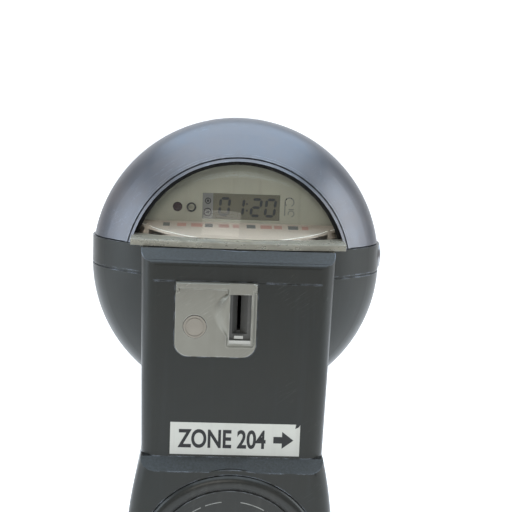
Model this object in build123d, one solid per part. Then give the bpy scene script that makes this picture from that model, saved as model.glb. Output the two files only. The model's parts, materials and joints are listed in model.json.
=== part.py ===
from build123d import *
import os
from math import cos, hypot, radians, sin, sqrt

# Single-space parking meter head with its coin vault, made to stand on a 2-inch pipe post.
# Millimetres.  +Z is up, the front faces -Y, +X is to the right of a person reading it.
# The origin is the centre of the post socket's mouth, on the underside of the collar.

# ---- Driving dimensions ------------------------------------------------------------------

# Head: a thick lens shape, turned about the Y axis through its centre.
NECK_BASE_Z = 217.0         # joint between the neck and the vault casting
HEAD_LIFT = 19.0            # underside of the round outline above that joint
HEAD_R = 104.0              # radius of the round outline
HEAD_Z = NECK_BASE_Z + HEAD_LIFT + HEAD_R   # height of the head's centre
HEAD_HALF_DEPTH = 68.0      # centre to the front or rear pole
RIM_ROUND = 40.0            # radius of the rim's edge rounding
DOME_WALL = 4.0             # thickness of the dome casting
BODY_WALL = 5.0             # thickness of the lower casting

# Seam between the dome and the lower casting, and the band below it.
SEAM_RISE = 17.5            # seam above the head's centre
SEAM_Z = HEAD_Z + SEAM_RISE
SEAM_GAP = 0.6              # open line between the two castings
LOCK_R = 9.0                # body of the dome lock, which the band has to hold
BAND_HEIGHT = 2 * LOCK_R + 1.5   # straight-sided band under the seam
GROOVE = 0.8                # depth of the line that underscores the band

# Neck: the box under and in front of the head.
NECK_FRONT = -75.0          # front face
NECK_REAR = 62.0            # rear face
NECK_HALF_TOP = 65.0        # half width at the seam
NECK_HALF_BASE = 62.2       # half width where it meets the vault
NECK_CORNER = 11.0          # rounding of its upright corners
NECK_FLOOR = 8.0            # thickness of the bolted floor
SHELF_BACK = -62.5          # where the top shelf starts to slope
SHELF_DROP = 6.3            # how far the shelf falls to its front edge
SHELF_ROUND = 3.5           # rounding of the shelf's front edge
SHELF_UNDERSIDE = 21.0      # underside of the shelf below the seam

# Windows in the dome.
WINDOW_R = 75.6             # front opening, an arch above the seam
REAR_WINDOW_R = 70.0        # rear opening
REAR_SILL = 42.0            # rear opening's flat edge above the head's centre
WINDOW_LAP = 6.0            # how far a window reaches under the casting
LIP_WIDTH = 4.6             # raised lip round the front opening
LIP_HEIGHT = 1.4
GASKET = 1.0                # gasket between casting and window
GASKET_SHOW = 2.6           # how far the front gasket reaches into the opening
WINDOW_WALL = 3.0           # clear plastic
RETAINER_WALL = 2.0
FLANGE_HEIGHT = 6.0         # clear bar along the bottom of the front window
FLANGE_HALF = WINDOW_R - 2.6   # half length of the bar
FLANGE_BOW = 6.0            # how far its middle stands in front of its ends
FLANGE_WALL = 3.0

# Dome hinge at the rear, on the seam.
HINGE_Y = HEAD_HALF_DEPTH + 9.0
HINGE_PIN_R = 3.0
KNUCKLE_R = 5.5
HINGE_HALF = 30.0           # half length of the pin
DOME_KNUCKLE_HALF = 17.5    # half length of the dome's knuckle
RUN_FIT = 0.05              # radial clearance of a turning fit
SLIDE_FIT = 0.3             # clearance of a sliding fit

# Dome lock on the right, through the band.
PLUG_R = 6.0                # turning plug
LOCK_CAM_LENGTH = 16.0
LOCK_CAM_HALF = 4.5
LOCK_CAM_X = HEAD_R - 21.0  # inner face of the cam
LOCK_INNER_X = HEAD_R - 16.0   # inner end of the lock body
LOCK_NUT_X = HEAD_R - 13.5  # inner face of the nut
LOCK_BOSS_X = HEAD_R - 8.0  # inner face of the boss that the nut pulls against
KEEPER_Y = -11.5            # middle of the keeper plate
KEEPER_WALL = 3.0
KEEPER_X = HEAD_R - 25.0    # inner edge of the keeper plate
KEEPER_WIDTH = 10.0

# Coin plate on the neck's front.
PLATE_LEFT = -41.2
PLATE_RIGHT = 13.1
PLATE_TOP = SEAM_Z - 19.8
PLATE_BOTTOM = PLATE_TOP - 50.5
PLATE_WALL = 3.0
PLATE_PROUD = 1.0           # how far it stands out of the neck
PLATE_CORNER = 9.5          # rounding of its lower corners
PLATE_LEDGE = 6.5           # how far the neck's wall reaches behind the plate
PLATE_SCREW_R = 1.25
PLATE_LIP_HEIGHT = 4.0
PLATE_LIP_PROUD = 3.0
SLOT_X = 1.3                # middle of the coin slot
SLOT_WIDTH = 2.4
SLOT_TOP = PLATE_TOP - 8.1
SLOT_LENGTH = 24.7          # passes a 24.3 mm coin
INSERT_LEFT = -5.0          # metal insert that holds the slot
INSERT_RIGHT = 9.2
INSERT_TOP = SLOT_TOP + 0.7
INSERT_BOTTOM = SLOT_TOP - SLOT_LENGTH - 7.9
INSERT_BACK = -66.0
LEDGE_PROUD = 2.6           # catch ledge under the slot
BUTTON_X = -27.9            # round coin release button
BUTTON_Z = PLATE_TOP - 30.2
BUTTON_R = 7.6
BUTTON_TRAVEL = 3.0
BUTTON_STEM_R = 3.0
CARRIER_R = 11.4            # cup that guides the button

# Label on the neck.
LABEL_LEFT = -42.4
LABEL_RIGHT = 45.4
LABEL_BOTTOM = NECK_BASE_Z + 1.9
LABEL_TOP = LABEL_BOTTOM + 22.4
LABEL_WALL = 0.3

# Vault casting with its pole collar.
VAULT_FRONT = -85.0
VAULT_HALF = 71.2           # half width at the door's centre
VAULT_SHOULDER = 7.0        # drop of the sloped shoulder below the neck
VAULT_CORNER = 12.0
VAULT_REAR_INSIDE = 52.0    # rear wall of the cavity
DOOR_Z = 144.0
DOOR_R = 63.8
DOOR_RECESS_R = 64.4
DOOR_SEAT = -77.0           # face the door's flange closes on
DOOR_SEAT_BOSS = 68.0       # round boss the door sits in
DOOR_RIM = 8.6              # width of the door's rounded rim
DOOR_PROUD = 3.2            # how far the rim stands out of the vault
DOOR_TRAVEL = 140.0
CAVITY_R = 57.5
COLLAR_R = 42.0
COLLAR_BEAD = 2.0
SOCKET_R = 30.5             # takes a 60.3 mm pipe
SOCKET_DEPTH = 60.0
SET_SCREW_R = 4.0
SET_SCREW_Z = 30.0

# Vault lock and its two bolts.
VAULT_PLUG_R = 8.0
VAULT_LOCK_R = 12.0
BOLT_TRAVEL = 7.0
BOLT_HALF = 5.5             # half height of a bolt
BOLT_TIP = 55.8             # tip of a drawn-back bolt
BOLT_TAIL = 5.8             # tail of a drawn-back bolt
BOLT_FRONT = -71.0
BOLT_REAR = -65.0
GUIDE_HALF = 50.0           # half length of the guide plate
GUIDE_WALL = 2.0

# Coin can.
CAN_FRONT = -50.0
CAN_REAR = 50.0
CAN_WALL = 1.5
INLET_LEFT = -14.0
INLET_RIGHT = 17.0
INLET_HALF = 17.0           # half depth of the inlet

# Mechanism module.
FRAME_Z = SEAM_Z - 24.5             # underside of the frame's base
FRAME_WALL = 3.0
FRAME_HALF_X = HEAD_R - 16.0
FRAME_HALF_Y = 32.0
MODULE_BOSS_X = HEAD_R - 23.0
MODULE_BOSS = 12.0          # height of the bosses that carry the frame
FACE_FRONT = -27.0
FACE_WALL = 2.0
FACE_R = 78.0
FACE_HALF = 72.0            # half width of the faceplate's foot
STRIP_BACK_Z = SEAM_Z + 14.0        # rate strip meets the faceplate here
STRIP_FRONT_Z = SEAM_Z + 4.5
STRIP_FRONT = -58.0
STRIP_WALL = 1.5
STRIP_HALF = WINDOW_R - 7.6
DISPLAY_LEFT = -25.4
DISPLAY_RIGHT = 28.6
DISPLAY_BOTTOM = SEAM_Z + 16.1
DISPLAY_TOP = DISPLAY_BOTTOM + 18.1
LAMP_X = -42.6
LAMP_Z = SEAM_Z + 24.0
LAMP_R = 3.3
SENSOR_X = -33.0
SENSOR_R = 3.5
BOARD_FRONT = -18.0
BOARD_WALL = 1.6
BOARD_R = 68.0
CELL_R = 12.8
CELL_LENGTH = 48.5
CELL_Y = -1.0
REAR_PLATE_Y = 24.0
REAR_PLATE_R = 76.0
REAR_LAMP_X = 20.0
REAR_LAMP_R = 5.0
REAR_LAMP_Z = SEAM_Z + 38.5

# Coin chute behind the slot.
CHUTE_HALF = 6.0            # half thickness of the closed chute
CHANNEL_HALF = 1.4
CHUTE_BOTTOM = NECK_BASE_Z + 5.0
COIL_R = 9.0
FUNNEL_WALL = 2.0
FUNNEL_BOTTOM = NECK_BASE_Z - 14.0
APERTURE = (-18.0, 21.0, -21.0, 21.0)   # hole through the neck's floor and the vault's top

NECK_BOLT_R = 4.0
NECK_BOLT_X = 45.0
NECK_BOLT_Y = (-50.0, 37.0)

# ---- Worked-out values ---------------------------------------------------------------------

BAND_Z = SEAM_Z - BAND_HEIGHT
DOME_Z = SEAM_Z + SEAM_GAP
RIM_CENTRE = HEAD_R - RIM_ROUND
CAP_R = (RIM_CENTRE ** 2 + HEAD_HALF_DEPTH ** 2 - RIM_ROUND ** 2) / (
    2 * (HEAD_HALF_DEPTH - RIM_ROUND))
CAP_BACK = CAP_R - HEAD_HALF_DEPTH
PLATE_FRONT = NECK_FRONT - PLATE_PROUD
PLATE_BACK = PLATE_FRONT + PLATE_WALL
WINDOW_SHRINK = DOME_WALL + GASKET
RETAINER_SHRINK = WINDOW_SHRINK + WINDOW_WALL
FLANGE_TOP = DOME_Z + FLANGE_HEIGHT
LOCK_Z = BAND_Z + BAND_HEIGHT / 2
FRAME_TOP = FRAME_Z + FRAME_WALL
FAR = 400.0                 # larger than anything here


# ---- Small helpers -------------------------------------------------------------------------

def block(x0, x1, y0, y1, z0, z1):
    """Box between two corners."""
    box = Box(x1 - x0, y1 - y0, z1 - z0)
    return Pos((x0 + x1) / 2, (y0 + y1) / 2, (z0 + z1) / 2) * box


def rod(axis, radius, start, end, first, second):
    """Cylinder along X, Y or Z; first and second are its other two coordinates in order."""
    origin, direction = {
        "X": ((start, first, second), (1, 0, 0)),
        "Y": ((first, start, second), (0, 1, 0)),
        "Z": ((first, second, start), (0, 0, 1)),
    }[axis]
    return extrude(Plane(origin=origin, z_dir=direction) * Circle(radius), end - start)


def tube(axis, outer, inner, start, end, first, second):
    return rod(axis, outer, start, end, first, second) - rod(axis, inner, start, end, first, second)


def above(z):
    return block(-FAR, FAR, -FAR, FAR, z, z + 2 * FAR)


def below(z):
    return block(-FAR, FAR, -FAR, FAR, z - 2 * FAR, z)


def side_prism(points, x0, x1):
    """Solid of a closed YZ outline, from x0 to x1."""
    outline = make_face(Polyline([(y, z) for y, z in points], close=True))
    plane = Plane(origin=(x0, 0, 0), x_dir=(0, 1, 0), z_dir=(1, 0, 0))
    return extrude(plane * outline, x1 - x0)


def group(shapes):
    return Compound(children=[solid for shape in shapes for solid in shape.solids()])


# ---- The head's shape ----------------------------------------------------------------------

def head_outline(shrink=0.0):
    """Plan section through the head's centre: two cap arcs joined by two rim arcs."""
    half = HEAD_HALF_DEPTH - shrink
    side = HEAD_R - shrink
    reach = (CAP_R - shrink) / hypot(RIM_CENTRE, CAP_BACK)
    x = RIM_CENTRE * reach
    y = CAP_BACK * reach - CAP_BACK
    arcs = [
        ThreePointArc((-x, -y), (0, -half), (x, -y)),
        ThreePointArc((x, -y), (side, 0), (x, y)),
        ThreePointArc((x, y), (0, half), (-x, y)),
        ThreePointArc((-x, y), (-side, 0), (-x, -y)),
    ]
    return make_face(Curve() + arcs)


def head_solid(shrink=0.0):
    """The head as a solid of revolution about Y, made smaller all over by shrink."""
    right_half = Pos(HEAD_R, 0) * Rectangle(2 * HEAD_R, 4 * HEAD_R)
    return Pos(0, 0, HEAD_Z) * revolve(head_outline(shrink) & right_half, axis=Axis.Y)


def head_shell(outer, inner):
    return head_solid(outer) - head_solid(inner)


def surface_y(shrink, radius):
    """Y of the front cap at a distance from the head's axis."""
    return CAP_BACK - sqrt((CAP_R - shrink) ** 2 - radius ** 2)


def neck_prism(inset, z0, z1):
    """The tapered neck box, made smaller all round by inset."""
    sections = []
    for z in (z0, z1):
        share = (z - NECK_BASE_Z) / (SEAM_Z - NECK_BASE_Z)
        half = NECK_HALF_BASE + (NECK_HALF_TOP - NECK_HALF_BASE) * share - inset
        depth = NECK_REAR - NECK_FRONT - 2 * inset
        outline = RectangleRounded(2 * half, depth, NECK_CORNER - inset)
        sections.append(Pos(0, (NECK_REAR + NECK_FRONT) / 2, z) * outline)
    return loft(sections, ruled=True)


def arch(radius, y0, y1, z0):
    """Upright plate with a round top centred on the head, from height z0."""
    return rod("Y", radius, y0, y1, 0, HEAD_Z) & above(z0)


# ---- Castings ------------------------------------------------------------------------------

def band(outer, inner, z0, z1):
    ring = head_outline(outer) - head_outline(inner) if inner is not None else head_outline(outer)
    return extrude(Pos(0, 0, z0) * ring, z1 - z0)


def shelf_cut():
    """What is taken off the neck's top in front: a slope that rounds into the front face."""
    slope_end = NECK_FRONT + SHELF_ROUND
    slope_z = SEAM_Z - SHELF_DROP
    points = [(SHELF_BACK, SEAM_Z), (slope_end, slope_z)]
    for step in range(1, 6):
        angle = radians(90 * step / 5)
        y = slope_end - SHELF_ROUND * sin(angle)
        z = slope_z - SHELF_ROUND * (1 - cos(angle))
        points.append((y, z))
    points += [(NECK_FRONT - 10, slope_z - SHELF_ROUND), (NECK_FRONT - 10, SEAM_Z + 10)]
    points.append((SHELF_BACK, SEAM_Z + 10))
    return side_prism(points, -NECK_HALF_TOP - 5, NECK_HALF_TOP + 5)


def module_boss_places():
    return [(sx * MODULE_BOSS_X, sy * 25.0) for sx in (-1, 1) for sy in (-1, 1)]


def plate_screw_places():
    """Two screws in the upper corners and two inside the rounded lower corners."""
    places = []
    for inset, z in ((3.2, PLATE_TOP - 4.4), (5.0, PLATE_BOTTOM + 4.2)):
        places += [(PLATE_LEFT + inset, z), (PLATE_RIGHT - inset, z)]
    return places


def lower_housing():
    head = (head_solid() & below(HEAD_Z)) + band(0, None, HEAD_Z, SEAM_Z)
    head -= band(-1, GROOVE, BAND_Z - GROOVE, BAND_Z + GROOVE)
    shell = head + neck_prism(0, NECK_BASE_Z, SEAM_Z)
    shell -= (head_solid(BODY_WALL) & below(HEAD_Z)) + band(BODY_WALL, None, HEAD_Z, SEAM_Z + 1)
    shell -= neck_prism(BODY_WALL, NECK_BASE_Z + NECK_FLOOR, SEAM_Z - SHELF_UNDERSIDE)
    shell -= shelf_cut()
    inside = head_solid(1.0)
    for x, y in module_boss_places():
        boss = block(x - 7, x + 12, y - 7, y + 7, FRAME_Z - MODULE_BOSS, FRAME_Z)
        if x < 0:
            boss = block(x - 12, x + 7, y - 7, y + 7, FRAME_Z - MODULE_BOSS, FRAME_Z)
        shell += boss & inside
        shell -= rod("Z", 2.0, FRAME_Z - MODULE_BOSS + 2, FRAME_Z, x, y)
    # Lock boss and bore in the right of the band.
    shell += block(LOCK_BOSS_X, HEAD_R - 2, -14, 14, BAND_Z + 0.5, SEAM_Z) & band(1, None, BAND_Z, SEAM_Z)
    shell -= rod("X", LOCK_R, LOCK_INNER_X + 2, HEAD_R + 5, 0, LOCK_Z)
    # Coin plate's pocket, window and screw holes, and the fine line level with its top.
    shell -= plate_outline(SLIDE_FIT, PLATE_BACK, NECK_FRONT - 5)
    wall = (NECK_FRONT - 1, NECK_FRONT + BODY_WALL + 1)
    shell -= block(PLATE_LEFT + PLATE_LEDGE, INSERT_RIGHT + 0.6, *wall,
                   PLATE_BOTTOM + PLATE_LEDGE, PLATE_TOP - PLATE_LEDGE)
    shell -= rod("Y", CARRIER_R + 0.4, *wall, BUTTON_X, BUTTON_Z)
    for x, z in plate_screw_places():
        shell -= rod("Y", PLATE_SCREW_R + 0.2, *wall, x, z)
    line_half = NECK_HALF_TOP - NECK_CORNER + 2
    shell -= block(-line_half, line_half, NECK_FRONT - 1, NECK_FRONT + 0.4, PLATE_TOP - 0.3, PLATE_TOP + 0.3)
    # Floor: coin aperture and bolt holes.
    x0, x1, y0, y1 = APERTURE
    shell -= block(x0, x1, y0, y1, NECK_BASE_Z - 1, NECK_BASE_Z + NECK_FLOOR + 1)
    for x, y in neck_bolt_places():
        shell -= rod("Z", NECK_BOLT_R + 0.3, NECK_BASE_Z - 1, NECK_BASE_Z + NECK_FLOOR + 1, x, y)
    # Two hinge knuckles on the rear of the band.
    for side in (-1, 1):
        inner, outer = DOME_KNUCKLE_HALF + SLIDE_FIT + 0.2, HINGE_HALF
        x0, x1 = sorted((side * inner, side * outer))
        lug = block(x0, x1, HEAD_HALF_DEPTH - 4, HINGE_Y, SEAM_Z - KNUCKLE_R, SEAM_Z - 0.5)
        shell += lug + rod("X", KNUCKLE_R, x0, x1, HINGE_Y, SEAM_Z)
        shell -= rod("X", HINGE_PIN_R, x0, x1, HINGE_Y, SEAM_Z)
    return shell


def dome_screw_places():
    """Front retainer screws, on a circle round the opening."""
    ring = WINDOW_R + WINDOW_LAP + 3.5
    return [(ring * cos(radians(a)), HEAD_Z + ring * sin(radians(a))) for a in (33, 72, 108, 147)]


def rear_screw_places():
    ring = REAR_WINDOW_R + WINDOW_LAP + 4.0
    return [(ring * cos(radians(a)), HEAD_Z + ring * sin(radians(a))) for a in (42, 74, 106, 138)]


def dome_cover():
    shell = head_shell(0, DOME_WALL) & above(DOME_Z)
    lip_ring = tube("Y", WINDOW_R + LIP_WIDTH, WINDOW_R, -FAR, 0, 0, HEAD_Z)
    lip_line = tube("Y", WINDOW_R + LIP_WIDTH / 2 + 0.5, WINDOW_R + LIP_WIDTH / 2 - 0.5, -FAR, 0, 0, HEAD_Z)
    shell += head_shell(-LIP_HEIGHT, DOME_WALL) & lip_ring & above(DOME_Z)
    shell -= head_shell(-LIP_HEIGHT - 1, 0) & lip_line
    shell -= rod("Y", WINDOW_R, -FAR, 0, 0, HEAD_Z)
    shell -= rod("Y", REAR_WINDOW_R, 0, FAR, 0, HEAD_Z) & above(HEAD_Z + REAR_SILL)
    # Screw bosses on the inside, blind holes for the retainer screws.
    boss_space = head_shell(DOME_WALL - 0.5, RETAINER_SHRINK)
    for places, side in ((dome_screw_places(), -1), (rear_screw_places(), 1)):
        for x, z in places:
            y0, y1 = sorted((0, side * FAR))
            shell += rod("Y", 3.2, y0, y1, x, z) & boss_space
            shell -= rod("Y", 1.25, *screw_span(side, x, z), x, z)
    # Knuckle and its lug at the rear.
    lug = block(-DOME_KNUCKLE_HALF, DOME_KNUCKLE_HALF, HEAD_HALF_DEPTH - 4.5, HINGE_Y, DOME_Z, DOME_Z + 4)
    shell += lug + rod("X", KNUCKLE_R, -DOME_KNUCKLE_HALF, DOME_KNUCKLE_HALF, HINGE_Y, SEAM_Z)
    shell -= rod("X", HINGE_PIN_R + RUN_FIT, -FAR, FAR, HINGE_Y, SEAM_Z)
    return shell


def screw_span(side, x, z):
    """Y range of a retainer screw's shank, from the retainer into the dome's wall."""
    radius = hypot(x, z - HEAD_Z)
    tip = surface_y(DOME_WALL - 2.0, radius)
    root = surface_y(RETAINER_SHRINK + RETAINER_WALL, radius)
    return tuple(sorted((-side * tip, -side * root)))


def vault_outline():
    """Front view of the vault: flared flanks that run into a half circle below the door."""
    rise = NECK_BASE_Z - DOOR_Z
    flare = VAULT_HALF - NECK_HALF_BASE
    flank_r = (flare ** 2 + rise ** 2) / (2 * flare)
    mid = rise / 2
    mid_x = VAULT_HALF - flank_r + sqrt(flank_r ** 2 - mid ** 2)
    curves = [
        Line((-NECK_HALF_BASE, rise), (NECK_HALF_BASE, rise)),
        ThreePointArc((NECK_HALF_BASE, rise), (mid_x, mid), (VAULT_HALF, 0)),
        ThreePointArc((VAULT_HALF, 0), (0, -VAULT_HALF), (-VAULT_HALF, 0)),
        ThreePointArc((-VAULT_HALF, 0), (-mid_x, mid), (-NECK_HALF_BASE, rise)),
    ]
    return make_face(Curve() + curves)


def vault_housing():
    plane = Plane(origin=(0, NECK_REAR, DOOR_Z), x_dir=(1, 0, 0), z_dir=(0, -1, 0))
    body = extrude(plane * vault_outline(), NECK_REAR - VAULT_FRONT)
    face_edges = body.edges().filter_by(GeomType.CIRCLE)
    body = fillet(face_edges, VAULT_CORNER)
    shoulder = [(NECK_FRONT, NECK_BASE_Z), (VAULT_FRONT, NECK_BASE_Z - VAULT_SHOULDER),
                (VAULT_FRONT - 5, NECK_BASE_Z - VAULT_SHOULDER), (VAULT_FRONT - 5, NECK_BASE_Z + 5),
                (NECK_FRONT, NECK_BASE_Z + 5)]
    body -= side_prism(shoulder, -FAR, FAR)
    body += rod("Y", DOOR_SEAT_BOSS, VAULT_FRONT, DOOR_SEAT + 10, 0, DOOR_Z)
    body += rod("Z", COLLAR_R, 0, DOOR_Z - CAVITY_R, 0, 0)
    body += rod("Z", COLLAR_R + COLLAR_BEAD, 0, 8, 0, 0)
    body -= rod("Y", CAVITY_R, VAULT_FRONT - 1, VAULT_REAR_INSIDE, 0, DOOR_Z)
    body -= rod("Y", DOOR_RECESS_R, VAULT_FRONT - 1, DOOR_SEAT, 0, DOOR_Z)
    body -= rod("Z", SOCKET_R, -1, SOCKET_DEPTH, 0, 0)
    x0, x1, y0, y1 = APERTURE
    body -= block(x0, x1, y0, y1, DOOR_Z, NECK_BASE_Z + 1)
    for x, y in neck_bolt_places():
        body -= rod("Z", NECK_BOLT_R, NECK_BASE_Z - 14, NECK_BASE_Z + 1, x, y)
    for side in (-1, 1):
        x0, x1 = sorted((side * (CAVITY_R - 5), side * (BOLT_TIP + BOLT_TRAVEL + 2)))
        body -= block(x0, x1, BOLT_FRONT - 1, BOLT_REAR + 1, DOOR_Z - BOLT_HALF - 1, DOOR_Z + BOLT_HALF + 1)
    for hole in set_screw_rods(SOCKET_R - 5, COLLAR_R + 5):
        body -= hole
    return body


def set_screw_rods(start, end, radius=SET_SCREW_R):
    """Three rods that point at the post's axis, spread evenly round the collar."""
    rods = []
    for angle in (90, 210, 330):
        direction = Vector(cos(radians(angle)), sin(radians(angle)), 0)
        origin = Vector(0, 0, SET_SCREW_Z) + direction * start
        rods.append(extrude(Plane(origin=origin, z_dir=direction) * Circle(radius), end - start))
    return rods


def collar_set_screws():
    """Grub screws with a socket in the outer end, clear of the post's space."""
    tip, top = SOCKET_R + 1.0, COLLAR_R + 0.5
    sockets = set_screw_rods(top - 4, top + 1, SET_SCREW_R / 2)
    return group([body - socket for body, socket in zip(set_screw_rods(tip, top), sockets)])


def neck_bolt_places():
    return [(sx * NECK_BOLT_X, y) for sx in (-1, 1) for y in NECK_BOLT_Y]


def neck_bolts():
    floor_top = NECK_BASE_Z + NECK_FLOOR
    bolts = []
    for x, y in neck_bolt_places():
        head = Pos(x, y, floor_top) * extrude(RegularPolygon(7.5, 6), 5.3)
        bolts.append(head + rod("Z", NECK_BOLT_R, NECK_BASE_Z - 13, floor_top, x, y))
    return group(bolts)


# ---- Seal, hinge pin and dome lock ---------------------------------------------------------

def dome_seal():
    """Rubber strip between the castings: two arcs at the sides and a strip under each end."""
    side_x = FLANGE_HALF + 2
    ring = band(2.2, DOME_WALL, SEAM_Z, DOME_Z - 0.1)
    sides = ring & (block(side_x, FAR, -FAR, FAR, 0, FAR) + block(-FAR, -side_x, -FAR, FAR, 0, FAR))
    front = flange_plan(0.5, SEAM_Z, DOME_Z - 0.1) - flange_plan(FLANGE_WALL - 0.5, SEAM_Z - 1, DOME_Z + 1)
    front &= block(-NECK_HALF_TOP + 4, NECK_HALF_TOP - 4, -FAR, 0, 0, FAR)
    rear = ring & block(-side_x, side_x, 0, FAR, 0, FAR)
    return group([sides + rear, front])


def hinge_pin():
    return rod("X", HINGE_PIN_R, -HINGE_HALF - 1, HINGE_HALF + 1, HINGE_Y, SEAM_Z)


def dome_lock_body():
    body = rod("X", LOCK_R, LOCK_INNER_X, HEAD_R + 0.4, 0, LOCK_Z)
    return body - rod("X", PLUG_R + RUN_FIT, LOCK_INNER_X - 1, HEAD_R + 1, 0, LOCK_Z)


def dome_lock_nut():
    plane = Plane(origin=(LOCK_NUT_X, 0, LOCK_Z), z_dir=(1, 0, 0))
    nut = extrude(plane * RegularPolygon(LOCK_R + 4, 6), LOCK_BOSS_X - LOCK_NUT_X)
    return nut - rod("X", LOCK_R, LOCK_NUT_X - 1, LOCK_BOSS_X + 1, 0, LOCK_Z)


def dome_lock_plug():
    """Plug of a tubular key lock: a ring-shaped keyway round a centre post."""
    front = HEAD_R + 0.4
    plug = rod("X", PLUG_R, LOCK_CAM_X + 3, front, 0, LOCK_Z)
    plug -= tube("X", 4.2, 2.6, front - 6, front + 1, 0, LOCK_Z)
    return plug - block(front - 6, front + 1, -0.8, 0.8, LOCK_Z + 3.4, LOCK_Z + 5.2)


def dome_lock_cam():
    """Finger that points up when the lock is open."""
    finger = block(LOCK_CAM_X, LOCK_CAM_X + 3, -LOCK_CAM_HALF, LOCK_CAM_HALF, LOCK_Z,
                   LOCK_Z + LOCK_CAM_LENGTH - LOCK_CAM_HALF)
    hub = rod("X", PLUG_R, LOCK_CAM_X, LOCK_CAM_X + 3, 0, LOCK_Z)
    tip = rod("X", LOCK_CAM_HALF, LOCK_CAM_X, LOCK_CAM_X + 3, 0, LOCK_Z + LOCK_CAM_LENGTH - LOCK_CAM_HALF)
    return finger + hub + tip


def lock_keeper():
    """Plate that hangs from the dome; the cam turns into its window."""
    y0, y1 = KEEPER_Y - KEEPER_WALL / 2, KEEPER_Y + KEEPER_WALL / 2
    sweep_top = LOCK_Z + LOCK_CAM_LENGTH + 1
    plate = block(KEEPER_X, KEEPER_X + KEEPER_WIDTH, y0, y1, LOCK_Z - LOCK_CAM_HALF - 4.5, sweep_top + 5)
    plate -= block(LOCK_CAM_X - 1.5, LOCK_CAM_X + 7, y0 - 1, y1 + 1, LOCK_Z - LOCK_CAM_HALF - 0.6, sweep_top)
    foot = block(KEEPER_X, HEAD_R, y0, y1 + 14, sweep_top + 1, sweep_top + 5) & head_solid(DOME_WALL)
    return plate + foot


# ---- Windows -------------------------------------------------------------------------------

def front_zone(radius):
    return rod("Y", radius, -FAR, 0, 0, HEAD_Z) & above(FLANGE_TOP)


def rear_zone(radius, sill_drop):
    return rod("Y", radius, 0, FAR, 0, HEAD_Z) & above(HEAD_Z + REAR_SILL - sill_drop)


def flange_plan(inset, z0, z1):
    """Everything behind the bar's bowed front face, set back by inset, between two heights."""
    bow_r = (FLANGE_HALF ** 2 + FLANGE_BOW ** 2) / (2 * FLANGE_BOW)
    front = SHELF_BACK + 0.5 + inset
    strip = block(-FLANGE_HALF, FLANGE_HALF, front, -30, z0, z1)
    return strip & rod("Z", bow_r, z0, z1, 0, front + bow_r)


def front_window():
    lens = head_shell(WINDOW_SHRINK, RETAINER_SHRINK) & front_zone(WINDOW_R + WINDOW_LAP)
    ledge = flange_plan(0, FLANGE_TOP - FLANGE_WALL, FLANGE_TOP) - head_solid(RETAINER_SHRINK)
    bar = flange_plan(0, DOME_Z, FLANGE_TOP) - flange_plan(FLANGE_WALL, DOME_Z - 1, FLANGE_TOP + 1)
    skirt = head_shell(WINDOW_SHRINK, RETAINER_SHRINK) & block(
        -FLANGE_HALF, FLANGE_HALF, -FAR, 0, FLANGE_TOP - FLANGE_WALL, FLANGE_TOP + 0.5)
    ledge &= rod("Y", WINDOW_R - 0.5, -FAR, 0, 0, HEAD_Z)
    return lens + ledge + bar + skirt


def front_gasket():
    ring = front_zone(WINDOW_R + WINDOW_LAP) - rod("Y", WINDOW_R - GASKET_SHOW, -FAR, 0, 0, HEAD_Z)
    return head_shell(DOME_WALL, WINDOW_SHRINK) & ring


def front_retainer():
    ring = front_zone(WINDOW_R + WINDOW_LAP + 7) - rod("Y", WINDOW_R + 2, -FAR, 0, 0, HEAD_Z)
    retainer = head_shell(RETAINER_SHRINK, RETAINER_SHRINK + RETAINER_WALL) & ring
    return retainer - screw_clearance(dome_screw_places(), -1)


def rear_window():
    return head_shell(WINDOW_SHRINK, RETAINER_SHRINK) & rear_zone(REAR_WINDOW_R + WINDOW_LAP, WINDOW_LAP)


def rear_gasket():
    ring = rear_zone(REAR_WINDOW_R + WINDOW_LAP, WINDOW_LAP) - rear_zone(REAR_WINDOW_R - 1, -1)
    return head_shell(DOME_WALL, WINDOW_SHRINK) & ring


def rear_retainer():
    ring = rear_zone(REAR_WINDOW_R + WINDOW_LAP + 8, WINDOW_LAP) - rear_zone(REAR_WINDOW_R + 1, 1)
    retainer = head_shell(RETAINER_SHRINK, RETAINER_SHRINK + RETAINER_WALL) & ring
    return retainer - screw_clearance(rear_screw_places(), 1)


def screw_clearance(places, side):
    """Through holes with a level seat for each screw head."""
    holes = []
    for x, z in places:
        y0, y1 = screw_span(side, x, z)
        root = y1 if side < 0 else y0
        seat = sorted((root, root - side * 8.0))
        holes += [rod("Y", 1.6, *sorted((0, side * FAR)), x, z), rod("Y", 2.9, *seat, x, z)]
    return holes


def retainer_screws():
    screws = []
    for places, side in ((dome_screw_places(), -1), (rear_screw_places(), 1)):
        for x, z in places:
            y0, y1 = screw_span(side, x, z)
            root = y1 if side < 0 else y0
            h0, h1 = sorted((root, root - side * 2.0))
            screws.append(rod("Y", 1.25, y0, y1, x, z) + rod("Y", 2.6, h0, h1, x, z))
    return group(screws)


# ---- Coin plate ----------------------------------------------------------------------------

def plate_outline(grow, y0, y1):
    """The coin plate's outline between two depths, with its lower corners rounded."""
    y0, y1 = sorted((y0, y1))
    x0, x1 = PLATE_LEFT - grow, PLATE_RIGHT + grow
    z0, z1 = PLATE_BOTTOM - grow, PLATE_TOP + grow
    radius = PLATE_CORNER + grow
    plate = block(x0, x1, y0, y1, z0 + radius, z1) + block(x0 + radius, x1 - radius, y0, y1, z0, z1)
    for x in (x0 + radius, x1 - radius):
        plate += rod("Y", radius, y0, y1, x, z0 + radius)
    return plate


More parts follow.
